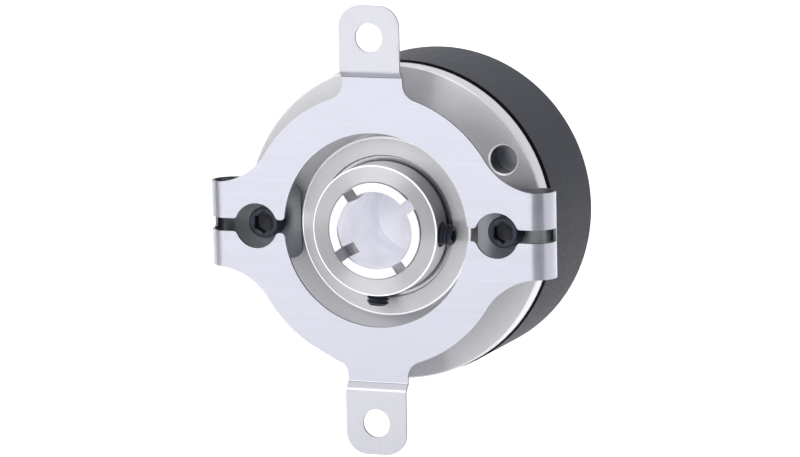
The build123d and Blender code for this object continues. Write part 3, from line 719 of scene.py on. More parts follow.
FINISHES = (
    Finish(
        "coupling_steel", (0.545, 0.55, 0.62), 1.0, (0.32, 0.38), Grain.LEVEL, 0.07, 0.0008, 1.0,
        0.5, "Z"
    ),
    # Darker copy of the sheet's steel on fold insides, tab backs, cut edges and a band in the
    # ears' first bend: painted shade.
    Finish(
        "coupling_painted_shade", (0.21, 0.22, 0.235), 1.0, (0.34, 0.42), Grain.LEVEL, 0.08, 0.0006, 1.0,
        0.8, "Z"
    ),
    Finish(
        "ear_steel", (0.55, 0.55, 0.595), 1.0, (0.30, 0.36), Grain.UPRIGHT, 0.06, 0.0006, 1.3
    ),
    Finish(
        "flange_aluminium", (0.53, 0.53, 0.55), 0.75, (0.34, 0.40), Grain.ROUND, 0.04, 0.0004,
        0.12, 0.9
    ),
    Finish(
        "ring_steel", (0.54, 0.535, 0.555), 1.0, (0.40, 0.46), Grain.ROUND, 0.04, 0.0005, 0.1, 0.95
    ),
    Finish(
        "shaft_steel", (0.74, 0.74, 0.77), 1.0, (0.22, 0.3), Grain.ROUND, 0.03, 0.0004, 0.1, 0.6
    ),
    # Near-white colour on broken edges of the flange's boss and blind holes and of the clamp ring:
    # painted highlight.
    Finish("edge_painted_highlight", (0.92, 0.92, 0.95), 0.4, (0.3, 0.35)),
    # Lighter colour on the rounded edge round the flange's face: painted highlight.
    Finish("rim_edge", (0.66, 0.66, 0.69), 0.6, (0.3, 0.35)),
    Finish(
        "rim_aluminium", (0.60, 0.60, 0.645), 1.0, (0.16, 0.2), Grain.ROUND, 0.03, 0.0, 0.12
    ),
    # Near-white, mostly non-metal colour in the shaft's bore and, a little darker, on its closed
    # end: painted light for the bore's bright reflections.
    Finish(
        "bore_painted_light", (0.95, 0.95, 1.0), 0.2, (0.45, 0.5), Grain.PLAIN, 0.12, 0.0, 4.0
    ),
    Finish(
        "bore_end_painted_light", (0.82, 0.82, 0.87), 0.2, (0.45, 0.5), Grain.PLAIN, 0.12, 0.0, 4.0
    ),
    # Darker aluminium inside the flange's blind holes: painted shade.
    Finish("hole_painted_shade", (0.42, 0.43, 0.46), 1.0, (0.4, 0.45)),
    # Near black inside the screws' hex sockets: painted shade.
    Finish("socket_painted_shade", (0.004, 0.005, 0.008), 0.0, (0.5, 0.55)),
    Finish("black_steel", (0.02, 0.024, 0.035), 0.6, (0.28, 0.38)),
    # Steel darkened as painted shade for the front bearing, which sits in the recess behind the
    # clamp ring.
    Finish("bearing_steel", (0.40, 0.40, 0.42), 1.0, (0.25, 0.3)),
    Finish("shield_steel", (0.25, 0.25, 0.27), 1.0, (0.35, 0.4)),
    Finish("cage_plastic", (0.35, 0.27, 0.16), 0.0, (0.5, 0.5)),
    Finish("spring_steel", (0.40, 0.40, 0.42), 1.0, (0.35, 0.4)),
    Finish(
        "cover_paint", (0.037, 0.040, 0.053), 0.0, (0.42, 0.62), Grain.PLAIN, 0.6, 0.05, 0.7,
        gloss=0.12
    ),
    # Black rubber; also on the cover's front face and front edge, as painted shadow in the joint
    # beside the seal.
    Finish("seal_rubber", (0.003, 0.003, 0.004), 0.0, (0.8, 0.9), gloss=0.05),
    Finish("disc_glass", (0.8, 0.9, 0.9), 0.0, (0.02, 0.05), clear=1.0),
    Finish("hub_aluminium", (0.6, 0.6, 0.62), 1.0, (0.3, 0.4)),
    Finish("head_plastic", (0.02, 0.02, 0.022), 0.0, (0.4, 0.5)),
    Finish("board_laminate", (0.01, 0.12, 0.04), 0.0, (0.3, 0.4)),
    Finish("chip_plastic", (0.015, 0.015, 0.015), 0.0, (0.45, 0.5)),
    Finish("capacitor_body", (0.6, 0.36, 0.05), 0.0, (0.25, 0.3)),
    Finish("post_brass", (0.65, 0.48, 0.2), 1.0, (0.3, 0.35)),
    Finish("zinc_steel", (0.6, 0.6, 0.62), 1.0, (0.28, 0.35)),
    Finish("plug_metal", (0.68, 0.67, 0.65), 1.0, (0.2, 0.3)),
    Finish("plug_plastic", (0.015, 0.015, 0.015), 0.0, (0.4, 0.5)),
    Finish("pin_gold", (0.85, 0.6, 0.2), 1.0, (0.15, 0.2)),
)


class Dresser:
    """Gives pieces their finish, their body and the nodes that they stand for."""

    def __init__(self) -> None:
        """Make every material once."""
        marks = Marks()
        self.materials = {finish.name: finish.material(marks) for finish in FINISHES}

    def dress(self, obj: Piece, finish: str, body: Body, nodes: Sequence[str] = ()) -> Piece:
        """Finish a piece, let it ride on its body and hide the nodes behind it.

        Args:
            obj: the piece.
            finish: its finish, which is also the record's material slot.
            body: the body that it moves with.
            nodes: CAD nodes that it stands for.

        Returns:
            The same object.
        """
        obj.data.materials.clear()
        obj.data.materials.append(self.materials[finish])
        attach(obj, body.value)
        if nodes:
            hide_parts(*nodes)
        LOG.info("%s on %s, %d faces", obj.name, body.value, len(obj.data.polygons))
        return obj

    def inside(self, obj: Piece, finish: str, is_inside: Callable[[Vector], bool]) -> None:
        """Give some faces of a dressed piece another finish.

        Args:
            obj: the piece.
            finish: the finish of those faces.
            is_inside: says from a face's centre, in millimetres, whether it is one of them.
        """
        obj.data.materials.append(self.materials[finish])
        place = len(obj.data.materials) - 1
        for face in obj.data.polygons:
            if is_inside(face.center / MM):
                face.material_index = place

    def paint_frame(self, frame: dict) -> None:
        """Give every CAD node the material of its slot.
        """
        for entry in frame["record"]["subparts"]:
            node = frame["nodes"][entry["node"]]
            node.data.materials.clear()
            node.data.materials.append(self.materials[entry["material_slot"]])


# The pieces of the encoder


@dataclass
class SteelSheet:
    """The folded spring sheet: a split ring with two ears and two wings."""

    thickness: float = 0.5
    ring_front: float = 1.3
    ring_radius: float = 25.1
    opening: float = 17.75
    ear_pitch: float = 70.4
    ear_hole: float = 2.6
    ear_half: float = 5.8
    ear_end: float = 41.0
    ear_corner: float = 4.0
    step_start: float = 27.95
    step_run: float = 1.2
    step_bend: float = 0.7
    neck_fillet: float = 3.1
    wing_half: float = 7.8
    wing_fillet: float = 12.0
    fold_depth: float = 7.5
    fold_reach: float = 33.15
    tab_end: float = 17.2
    tab_taper: float = 1.0
    tab_corner: float = 2.1
    screw_x: float = 23.25
    screw_hole: float = 1.7
    keyhole: float = 4.15
    slot_half: float = 1.2
    slot_turn: float = 97.4
    slot_corner: float = 0.5
    horn: float = 0.75
    broken_edge: float = 0.05
    fold_steps: int = 28
    step_steps: int = 12
    # Share of the ears' first bend, at its end, whose front is painted dark as shade in the
    # crease.
    crease_shade: float = 0.45

    @property
    def fold_x(self) -> float:
        """Where the flat wing ends and the fold begins."""
        return self.fold_reach - self.fold_depth / 2

    @property
    def fold_radius(self) -> float:
        """Radius of the middle of the sheet in the fold."""
        return (self.fold_depth - self.thickness) / 2

    @property
    def fold_length(self) -> float:
        """Length of the middle of the sheet round the fold."""
        return math.pi * self.fold_radius

    @property
    def step_turn(self) -> float:
        """Angle of each bend of the ears, in radians."""
        return math.atan2(self.ring_front, self.step_run)

    @property
    def step_marks(self) -> list[float]:
        """Flat lengths where the ear's bends start and end.

        Returns:
            Start and end of the first bend, then of the second.
        """
        reach = self.step_bend * math.tan(self.step_turn / 2)
        bend = self.step_bend * self.step_turn
        slope = math.hypot(self.ring_front, self.step_run) - 2 * reach
        start = self.step_start - reach
        return [start, start + bend, start + bend + slope, start + 2 * bend + slope]

    @property
    def ear_growth(self) -> float:
        """How much longer the flat ear is than the bent one."""
        reach = self.step_bend * math.tan(self.step_turn / 2)
        return self.step_marks[3] - (self.step_start + self.step_run + reach)

    def flat_x(self, x: float) -> float:
        """Flat length of a place on the front half of the fold, from its X.

        Args:
            x: distance from the axis once it is bent.

        Returns:
            The distance on the flat sheet.
        """
        if x <= self.fold_x:
            return x
        share = min(1.0, (x - self.fold_x) / self.fold_radius)
        return self.fold_x + self.fold_radius * math.asin(share)

    def quarter(self) -> list[Point]:
        """Outline of a quarter of the flat sheet, as (X, Z) points.

        Returns:
            The outline's points in order.
        """
        wing_side = self.wing_half + self.wing_fillet
        wing_along = math.sqrt((self.ring_radius + self.wing_fillet) ** 2 - wing_side**2)
        neck_side = self.ear_half + self.neck_fillet
        neck_along = math.sqrt((self.ring_radius + self.neck_fillet) ** 2 - neck_side**2)
        ring_start = math.degrees(math.atan2(neck_along, neck_side))
        ring_end = math.degrees(math.atan2(wing_side, wing_along))
        hole_z = self.ear_pitch / 2 + self.ear_growth
        end_z = self.ear_end + self.ear_growth
        tab_end = self.fold_x + self.fold_length + self.fold_x - self.tab_end
        hole_x = self.fold_x + self.fold_length + self.fold_x - self.screw_x
        slot_end = self.fold_x + self.fold_radius * math.radians(self.slot_turn)
        points = [(0.0, self.opening)]
        points += arc((0, hole_z), self.ear_hole, -90, 90, 32)
        points += [(0.0, end_z)]
        corner = (self.ear_half - self.ear_corner, end_z - self.ear_corner)
        points += arc(corner, self.ear_corner, 90, 0, 16)
        points += arc((neck_side, neck_along), self.neck_fillet, 180, 180 + ring_start, 12)
        points += arc((0, 0), self.ring_radius, ring_start, ring_end, 40)
        wing = arc((wing_along, wing_side), self.wing_fillet, 180 + ring_end, 270, 24)
        points += [(self.flat_x(x), z) for x, z in wing]
        points += self._tab_corner(tab_end)
        points += [(tab_end, 0.0)]
        points += arc((hole_x, 0), self.screw_hole, 0, 180, 24)
        points += [(slot_end, 0.0)]
        corner = (slot_end - self.slot_corner, self.slot_half - self.slot_corner)
        points += arc(corner, self.slot_corner, 0, 90, 6)
        points += self._keyhole_edge()
        return [p for i, p in enumerate(points) if math.dist(p, points[i - 1]) > 1e-6]

    def _tab_corner(self, tab_end: float) -> list[Point]:
        """Tapered edge of the tab and its rounded corner.

        Args:
            tab_end: flat length at which the tab ends.

        Returns:
            The points, from the end of the fold to the tab's end.
        """
        fold_end = self.fold_x + self.fold_length
        lean = math.atan2(self.tab_taper, tab_end - fold_end)
        along = tab_end - self.tab_corner
        edge = self.wing_half - (along - fold_end) * math.tan(lean)
        corner = (along, edge - self.tab_corner / math.cos(lean))
        points = [(fold_end, self.wing_half)]
        return points + arc(corner, self.tab_corner, 90 - math.degrees(lean), 0, 12)

    def _keyhole_edge(self) -> list[Point]:
        """Edge from the outer slot round the keyhole and the horn to the central opening.

        Returns:
            The edge's points in order.
        """
        side = self.slot_half + self.horn
        reach = math.sqrt((self.keyhole + self.horn) ** 2 - side**2)
        lean = math.degrees(math.atan2(side, reach))
        outer = (self.screw_x + reach, side)
        inner = (self.screw_x - reach, side)
        points = arc(outer, self.horn, 270, 180 + lean, 8)
        points += arc((self.screw_x, 0), self.keyhole, lean, 180 - lean, 40)
        points += arc(inner, self.horn, -lean, -90, 8)
        rim = math.sqrt((self.opening + self.horn) ** 2 - side**2)
        turn = math.degrees(math.atan2(side, rim))
        points += arc((rim, side), self.horn, 270, 180 + turn, 8)
        points += arc((0, 0), self.opening, turn, 90, 48)[:-1]
        return points

    def _along_ear(self, flat: float) -> tuple[float, float, float]:
        """Middle of the sheet along an ear.

        Args:
            flat: distance from the axis, measured on the flat sheet.

        Returns:
            Height, depth and slope angle there.
        """
        first, second, third, fourth = self.step_marks
        height = min(flat, first)
        depth = self.ring_front + self.thickness / 2
        turn = 0.0
        if flat > first:
            turn = min((flat - first) / self.step_bend, self.step_turn)
            height += self.step_bend * math.sin(turn)
            depth -= self.step_bend * (1 - math.cos(turn))
        if flat > second:
            run = min(flat, third) - second
            height += run * math.cos(turn)
            depth -= run * math.sin(turn)
        if flat > third:
            turn = self.step_turn - min((flat - third) / self.step_bend, self.step_turn)
            height += self.step_bend * (math.sin(self.step_turn) - math.sin(turn))
            depth -= self.step_bend * (math.cos(turn) - math.cos(self.step_turn))
        if flat > fourth:
            height += flat - fourth
        return height, depth, turn

    def folded(self, flat: Vector, outward: float) -> Vector:
        """Place of a point of the sheet once it is bent.

        Args:
            flat: its place on the flat sheet, as X and Z.
            outward: distance from the middle of the sheet towards its front face.

        Returns:
            The place in millimetres.
        """
        x_side = math.copysign(1, flat.x)
        z_side = math.copysign(1, flat.y)
        across = abs(flat.x)
        height, depth, slope = self._along_ear(abs(flat.y))
        if across <= self.fold_x:
            x = across
            y = depth - outward * math.cos(slope)
            z = height - outward * math.sin(slope)
        elif across <= self.fold_x + self.fold_length:
            turn = (across - self.fold_x) / self.fold_radius
            radius = self.fold_radius + outward
            x = self.fold_x + radius * math.sin(turn)
            y = self.ring_front + self.fold_depth / 2 - radius * math.cos(turn)
            z = height
        else:
            x = self.fold_x - (across - self.fold_x - self.fold_length)
            y = self.ring_front + self.fold_depth - self.thickness / 2 + outward
            z = height
        return Vector((x * x_side, y, z * z_side))

    def build(self) -> Piece:
        """The bent sheet as one closed mesh.

        Returns:
            The new object.
        """
        shape = bmesh.new()
        outline = [shape.verts.new((x, z, 0)) for x, z in self.quarter()]
        shape.faces.new(outline)
        bmesh.ops.triangulate(shape, faces=shape.faces)
        lines = [
            (self.fold_x + self.fold_length * step / self.fold_steps, 0)
            for step in range(self.fold_steps + 1)
        ]
        marks = self.step_marks
        pieces = self.step_steps
        for start, end in (marks[:2], marks[2:]):
            lines += [(0, start + (end - start) * step / pieces) for step in range(pieces + 1)]
        for x, z in lines:
            normal = (1, 0, 0) if x else (0, 1, 0)
            bmesh.ops.bisect_plane(
                shape,
                geom=shape.verts[:] + shape.edges[:] + shape.faces[:],
                plane_co=(x, z, 0),
                plane_no=normal,
                dist=1e-5,
            )
        for axis in (0, 1):
            copied = bmesh.ops.duplicate(
                shape, geom=shape.verts[:] + shape.edges[:] + shape.faces[:]
            )
            for item in copied["geom"]:
                if isinstance(item, bmesh.types.BMVert):
                    item.co[axis] *= -1
        bmesh.ops.remove_doubles(shape, verts=shape.verts, dist=1e-4)
        flat = {v: v.co.copy() for v in shape.verts}
        rim = [edge for edge in shape.edges if len(edge.link_faces) == 1]
        half = self.thickness / 2
        front = {v: shape.verts.new(self.folded(co, half) * MM) for v, co in flat.items()}
        rear = {v: shape.verts.new(self.folded(co, -half) * MM) for v, co in flat.items()}
        ear_start, bend_end = self.step_marks[:2]
        crease_shade_start = bend_end - self.crease_shade * (bend_end - ear_start)
        for face in list(shape.faces):
            along = abs(face.calc_center_median().y)
            on_ear = along > ear_start
            outer = shape.faces.new([front[v] for v in face.verts])
            inner = shape.faces.new([rear[v] for v in reversed(face.verts)])
            on_ring = abs(face.calc_center_median().x) < self.fold_x
            front_side = Side.EAR if on_ear else Side.OUTER
            # Rear faces beyond the ring take the darker steel: painted shade in the folds and
            # behind the tabs.
            rear_side = front_side if on_ear or on_ring else Side.PAINTED_SHADE
            # A band at the end of the ears' first bend takes the darker steel: painted shade in
            # the crease.
            if crease_shade_start < along < bend_end:
                front_side = Side.PAINTED_SHADE
            outer.material_index = front_side.value
            inner.material_index = rear_side.value
        # Cut edges take the darker steel: painted shade.
        for edge in rim:
            first, second = edge.verts
            wall = shape.faces.new([front[first], front[second], rear[second], rear[first]])
            wall.material_index = Side.PAINTED_SHADE.value
        bmesh.ops.delete(shape, geom=list(flat), context="VERTS")
        bmesh.ops.recalc_face_normals(shape, faces=shape.faces)
        obj = finished("coupling_sheet", shape)
        edge_round = obj.modifiers.new("deburred", "BEVEL")
        edge_round.width = self.broken_edge * MM
        edge_round.segments = 2
        edge_round.limit_method = "ANGLE"
        edge_round.angle_limit = math.radians(60)
        weigh_normals(obj)
        return obj

    def add(self, dresser: Dresser) -> None:
        """Build the sheet, which bends between the machine and the housing.

        Args:
            dresser: holds the finishes that the sheet takes.
        """
        obj = self.build()
        # The second finish is the darker steel that paints shade on the sheet.
        for finish in ("coupling_steel", "coupling_painted_shade", "ear_steel"):
            obj.data.materials.append(dresser.materials[finish])
        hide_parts("stator_coupling")
        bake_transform(obj)
        LOG.info("coupling_sheet, %d faces", len(obj.data.polygons))


@dataclass
class Flange:
    """The turned front flange with its boss, pads, spigot and three blind holes."""

    boss_front: float = 6.65
    bore: float = 13.0
    boss: float = 16.45
    face: float = 11.3
    rim: float = 29.0
    rim_back: float = 15.2
    spigot: float = 27.5
    spigot_end: float = 17.6
    hub: float = 15.0
    hub_end: float = 22.5
    land: float = 12.0
    land_front: float = 11.9
    land_back: float = 16.4
    pad: float = 4.2
    pad_front: float = 8.8
    pad_x: float = 23.25
    hole: float = 2.6
    hole_depth: float = 4.1
    hole_circle: float = 24.5
    hole_start: float = 30.0
    hole_edge: float = 0.3
    hole_floor: float = 0.3
    bore_edge: float = 0.12
    boss_edge: float = 0.35
    boss_root: float = 0.4
    rim_edge: float = 0.3
    back_edge: float = 0.15
    pad_hole: float = 1.5
    pad_edge: float = 0.2
    pad_root: float = 0.2

    def build(self) -> Piece:
        """The flange as one mesh.

        Returns:
            The new object.
        """
        corners = [
            (self.bore, self.boss_front, self.bore_edge),
            (self.boss, self.boss_front, self.boss_edge),
            (self.boss, self.face, self.boss_root),
            (self.rim, self.face, self.rim_edge),
            (self.rim, self.rim_back, self.back_edge),
            (self.spigot, self.rim_back, 0),
            (self.spigot, self.spigot_end, 0),
            (self.hub, self.spigot_end, 0),
            (self.hub, self.hub_end, 0),
            (self.bore, self.hub_end, 0),
            (self.bore, self.land_back, 0),
            (self.land, self.land_back, 0),
            (self.land, self.land_front, 0),
            (self.bore, self.land_front, 0),
        ]
        obj = turned("flange", corners, segments=240)
        return cut(obj, [self._hole(index) for index in range(3)])

    def _hole(self, index: int) -> Piece:
        """Cutter for one blind hole with a broken edge.

        Args:
            index: which of the three holes.

        Returns:
            The new object.
        """
        ahead = 1.0
        corners = [
            (0.0, self.face - ahead, 0),
            (self.hole + self.hole_edge + ahead, self.face - ahead, 0),
            (self.hole, self.face + self.hole_edge, 0),
            (self.hole, self.face + self.hole_depth, self.hole_floor),
            (0.0, self.face + self.hole_depth, 0),
        ]
        cutter = turned("hole_cutter", corners, segments=64)
        turn = math.radians(self.hole_start + 120 * index)
        return shift(cutter, self.hole_circle * math.cos(turn), self.hole_circle * math.sin(turn))

    def _in_hole(self, spot: Vector) -> bool:
        """Whether a spot on the flange's surface is inside a blind hole."""
        deep = self.face + self.hole_edge < spot.y < self.face + self.hole_depth + SLACK
        return deep and math.hypot(spot.x, spot.z) < self.hole_circle + self.hole + SLACK

    def _on_edge(self, spot: Vector) -> bool:
        """Whether a spot is on the broken edge of the boss or of a blind hole.

        Args:
            spot: place in millimetres.

        Returns:
            Whether it is.
        """
        from_axis = math.hypot(spot.x, spot.z)
        behind = spot.y - self.boss_front
        on_boss = self.boss - self.boss_edge + BESIDE < from_axis < self.boss - BESIDE
        into = spot.y - self.face
        on_face = self.boss + 1 < from_axis < self.rim - 0.5
        at_hole = on_face and BESIDE < into < self.hole_edge - BESIDE
        return at_hole or (on_boss and 0 < behind < self.boss_edge - BESIDE)

    def _on_rim_edge(self, spot: Vector) -> bool:
        """Whether a spot is on the rounded edge round the flange's face."""
        near = math.hypot(spot.x, spot.z) > self.rim - self.rim_edge
        return near and 0 < spot.y - self.face < self.rim_edge - BESIDE

    def _on_rim(self, spot: Vector) -> bool:
        """Whether a spot is on the flange's outer side."""
        outside = math.hypot(spot.x, spot.z) > self.rim - BESIDE
        return outside and spot.y - self.face > self.rim_edge - BESIDE

    def pads(self) -> Piece:
        """The two round pads that carry the coupling's tabs.

        Returns:
            The new object.
        """
        radii = (self.pad_hole, self.pad)
        depths = (self.pad_front, self.face + self.pad_root)
        edges = (0.0, self.pad_edge, 0.0, 0.0)
        pieces = [
            shift(tube("pad", radii, depths, edges, 64), side * self.pad_x) for side in (-1, 1)
        ]
        return join("flange_pads", pieces)

    def add(self, dresser: Dresser) -> None:
        """Build and dress the flange.

        Args:
            dresser: gives each piece its finish and its body.
        """
        housing = Body.HOUSING
        flange = dresser.dress(self.build(), "flange_aluminium", housing, ["front_flange"])
        # The blind holes get painted shade.
        dresser.inside(flange, "hole_painted_shade", self._in_hole)
        # Broken edges of the boss and the blind holes get a painted highlight.
        dresser.inside(flange, "edge_painted_highlight", self._on_edge)
        dresser.inside(flange, "rim_aluminium", self._on_rim)
        # The rounded edge round the flange's face gets a painted highlight.
        dresser.inside(flange, "rim_edge", self._on_rim_edge)
        dresser.dress(self.pads(), "flange_aluminium", housing)


@dataclass
class Cover:
    """The rear cover, its seal and its screws."""

    radius: float = 29.25
    inside: float = 27.55
    front: float = 15.6
    rear: float = 38.0
    floor: float = 36.2
    seal_front: float = 15.2
    seal_radius: float = 29.1
    spigot: float = 27.5
    plug_hole: float = 6.05
    screw_circle: float = 22.4
    screw_hole: float = 1.7
    head: float = 2.8
    head_height: float = 1.9
    shank: float = 1.45
    screw_length: float = 5.0
    hex_key: float = 2.0
    hex_depth: float = 1.2
    hex_mouth: Point = (0.35, 0.05)
    drill_point: float = 0.3
    crown: float = 1.3
    crown_turn: float = 80.0
    inner_edge: float = 0.1
    front_edge: float = 0.35
    rear_edge: float = 1.5
    shadow: float = 0.6

    def screw_places(self) -> list[Vector]:
        """Centres of the three cover screws, at the rear face's depth."""
        turns = [math.radians(90 + 120 * index) for index in range(3)]
        return [about_axis(self.screw_circle, self.rear, turn) for turn in turns]

    def shell(self) -> Piece:
        """The cover with its holes.

        Returns:
            The new object.
        """
        corners = [
            (self.inside, self.front, self.inner_edge),
            (self.radius, self.front, self.front_edge),
            (self.radius, self.front + self.shadow, 0),
            (self.radius, self.rear, self.rear_edge),
            (self.plug_hole, self.rear, 0),
            (self.plug_hole, self.floor, 0),
            (self.inside, self.floor, 0),
        ]
        obj = turned("rear_cover_shell", corners, segments=240, steps=8)
        depths = (self.floor - 1, self.rear + 1)
        cutters = []
        for place in self.screw_places():
            cutter = tube("screw_cutter", (0.0, self.screw_hole), depths, segments=48)
            cutters.append(shift(cutter, place.x, place.z))
        return cut(obj, cutters)

    def seal(self) -> Piece:
        """The flat seal between flange and cover."""
        radii = (self.spigot, self.seal_radius)
        return tube("seal_ring", radii, (self.seal_front, self.front), segments=240)

    def screws(self) -> Piece:
        """The three button-head screws.

        Returns:
            The new object.
        """
        pieces = []
        count = 48
        top = self.head_height
        for place in self.screw_places():
            rings = [
                [Vector((0, -self.screw_length, 0))],
                circle(self.shank, -self.screw_length, count),
                circle(self.shank, 0, count),
                circle(self.head, 0, count),
            ]
            middle = (self.head - self.crown, top - self.crown)
            for x, y in arc(middle, self.crown, 0, self.crown_turn, 8):
                rings.append(circle(x, y, count))
            rings += hex_socket(self.hex_key, top, self.hex_depth, self.hex_mouth, count)
            rings.append([Vector((0, top - self.hex_depth - self.drill_point, 0))])
            piece = stack("cover_screw", rings, closed=False)
            pieces.append(stand(piece, place, Vector((0, 1, 0))))
        return join("cover_button_screws", pieces)

    def _in_shadow(self, spot: Vector) -> bool:
        """Whether a spot is on the cover's front face or front edge, painted black as shadow in
        the joint beside the seal.
        """
        return spot.y < self.front + self.shadow

    def add(self, dresser: Dresser) -> None:
        """Build and dress the cover.

        Args:
            dresser: gives each piece its finish and its body.
        """
        housing = Body.HOUSING
        shell = dresser.dress(self.shell(), "cover_paint", housing, ["rear_cover"])
        # The cover's front face and front edge take the seal's black: painted shadow in the joint.
        dresser.inside(shell, "seal_rubber", self._in_shadow)
        dresser.dress(self.seal(), "seal_rubber", housing, ["cover_seal"])
        dresser.dress(self.screws(), "zinc_steel", housing, ["cover_screws"])


@dataclass
class Rotor:
    """The hollow shaft, the clamp ring and the set screws."""

    bore: float = 7.0
    bore_edge: float = 0.3
    collet: float = 8.8
    collet_edge: float = 0.15
    collet_front: float = 0.9
    seat: float = 8.5
    bearing_front: float = 6.9
    bearings_end: float = 22.0
    groove: float = 7.9
    groove_end: float = 22.9
    shoulder: float = 23.9
    journal: float = 5.0
    shaft_end: float = 28.4
    bore_end: float = 20.9
    slot_half: float = 1.1
    slot_end: float = 6.5
    slot_start: float = 35.5
    slot_middle: float = 8.0
    slot_reach: float = 4.0
    slot_ahead: float = 2.0
    turned_edge: float = 0.2
    clamp_front: float = 1.1
    clamp_back: float = 6.6
    clamp: float = 12.0
    clamp_edge: float = 0.25
    clamp_bore: float = 8.82
    clamp_mouth: float = 0.3
    screw_depth: float = 3.85
    screw: float = 2.0
    screw_root: float = 1.62
    screw_length: float = 5.0
    screw_pitch: float = 0.7
    screw_hole: float = 2.05
    tap_edge: float = 0.6
    tap_start: float = 7.0
    tap_end: float = 13.0
    tap_chamfer: Point = (11.55, 12.15)
    screw_taper: float = 0.45
    taper_length: float = 0.35
    hex_key: float = 2.0
    hex_depth: float = 2.2
    hex_mouth: Point = (0.32, 0.12)
    drill_point: float = 0.3
    thread_flank: Point = (2.6, 0.15)
    thread_rows: int = 112
    side_angle: float = -3.0
    side_tip: float = 14.2
    bottom_angle: float = -93.0
    bottom_tip: float = 14.0

    def shaft(self) -> Piece:
        """The hollow shaft with its four collet slots.

        Returns:
            The new object.
        """
        corners = [
            (self.bore, self.collet_front, self.bore_edge),
            (self.collet, self.collet_front, self.collet_edge),
            (self.collet, self.bearing_front, 0),
            (self.seat, self.bearing_front, 0),
            (self.seat, self.bearings_end, 0),
            (self.groove, self.bearings_end, 0),
            (self.groove, self.groove_end, 0),
            (self.seat, self.groove_end, 0),
            (self.seat, self.shoulder, self.turned_edge),
            (self.journal, self.shoulder, 0),
            (self.journal, self.shaft_end, self.turned_edge),
            (0.0, self.shaft_end, 0),
            (0.0, self.bore_end, 0),
            (self.bore, self.bore_end, self.bore_edge),
        ]
        obj = turned("hollow_shaft_body", corners, segments=192)
        length = self.slot_end - self.collet_front + self.slot_ahead
        sizes = Vector((self.slot_reach, length, 2 * self.slot_half))
        spread = Matrix.Diagonal((*(sizes * MM), 1))
        place = Vector((self.slot_middle, self.slot_end - length / 2, 0))
        cutters = []
        for index in range(4):
            turn = math.radians(self.slot_start + 90 * index)
            bpy.ops.mesh.primitive_cube_add(size=1.0)
            cutter = bpy.context.object
            swing = Matrix.Rotation(-turn, 4, "Y")
            cutter.data.transform(swing @ Matrix.Translation(place * MM) @ spread)
            cutters.append(cutter)
        return cut(obj, cutters)

    def _on_ring_edge(self, spot: Vector) -> bool:
        """Whether a spot is on the clamp ring's broken front edge.

        Args:
            spot: place in millimetres.

        Returns:
            Whether it is.
        """
        from_rim = self.clamp - math.hypot(spot.x, spot.z)
        behind = spot.y - self.clamp_front
        end = self.clamp_edge - BESIDE / 2
        return BESIDE / 2 < from_rim < end and 0 < behind < end

    def _in_bore(self, spot: Vector) -> bool:
        """Whether a spot on the shaft's surface is inside the bore."""
        near = math.hypot(spot.x, spot.z) < self.bore + SLACK / 2
        return near and self.collet_front + 2 * SLACK < spot.y < self.bore_end + SLACK

    def _on_bore_end(self, spot: Vector) -> bool:
        """Whether a spot is on the closed end of the bore."""
        near = math.hypot(spot.x, spot.z) < self.bore - BESIDE
        return near and -self.bore_edge < spot.y - self.bore_end < SLACK

    def screw_axes(self) -> dict[str, tuple[Vector, float]]:
        """Direction and tip radius of each set screw.

        Returns:
            Both by the screw's name.
        """
        sides = {
            "side": (self.side_angle, self.side_tip),
            "bottom": (self.bottom_angle, self.bottom_tip),
        }
        return {
            name: (about_axis(1.0, 0, math.radians(angle)), tip)
            for name, (angle, tip) in sides.items()
        }

    def ring(self) -> Piece:
        """The clamp ring with its two tapped holes.

        Returns:
            The new object.
        """
        radii = (self.clamp_bore, self.clamp)
        depths = (self.clamp_front, self.clamp_back)
        edges = (self.clamp_mouth, self.clamp_edge, self.turned_edge, self.turned_edge)
        obj = tube("clamp_collar", radii, depths, edges)
        wide = self.screw_hole + self.tap_edge
        first, last = self.tap_chamfer
        hole = [
            (0.0, self.tap_start, 0),
            (self.screw_hole, self.tap_start, 0),
            (self.screw_hole, first, 0),
            (wide, last, 0),
            (wide, self.tap_end, 0),
            (0.0, self.tap_end, 0),
        ]
        cutters = []
        for axis, _ in self.screw_axes().values():
            cutter = turned("tap_cutter", hole, segments=64)
            cutters.append(stand(cutter, Vector((0, self.screw_depth, 0)), axis))
        return cut(obj, cutters)

    def set_screw(self, name: str, axis: Vector, tip: float) -> Piece:
        """A set screw with its thread and hex socket.

        Args:
            name: the object's name.
            axis: direction away from the shaft axis.
            tip: distance of its outer end from the shaft axis.

        Returns:
            The new object.
        """
        count = 48
        height = self.screw - self.screw_root
        rings = [[Vector((0, -self.screw_length, 0))]]
        for row in range(self.thread_rows + 1):
            depth = -self.screw_length + self.screw_length * row / self.thread_rows
            from_end = min(depth + self.screw_length, -depth)
            full = min(1.0, from_end / self.taper_length)
            limit = self.screw - self.screw_taper * (1 - full)

            def radius_at(share: float, limit: float = limit) -> float:
                """Radius of the thread, inside the taper at the screw's ends."""
                return min(self.screw_root + height * share, limit)

            ring = thread_ring(depth, self.screw_pitch, count, self.thread_flank, radius_at)
            rings.append(ring)
        rings += hex_socket(self.hex_key, 0, self.hex_depth, self.hex_mouth, count)
        rings.append([Vector((0, -self.hex_depth - self.drill_point, 0))])
        piece = stack(name, rings, closed=False)
        place = axis * tip + Vector((0, self.screw_depth, 0))
        return stand(piece, place, axis)

    def add(self, dresser: Dresser) -> None:
        """Build and dress what turns.

        Args:
            dresser: gives each piece its finish and its body.
        """
        shaft = dresser.dress(self.shaft(), "shaft_steel", Body.ROTOR, ["hollow_shaft"])
        # The bore and its closed end get painted light.
        dresser.inside(shaft, "bore_painted_light", self._in_bore)
        dresser.inside(shaft, "bore_end_painted_light", self._on_bore_end)
        ring = dresser.dress(self.ring(), "ring_steel", Body.ROTOR, ["clamp_ring"])
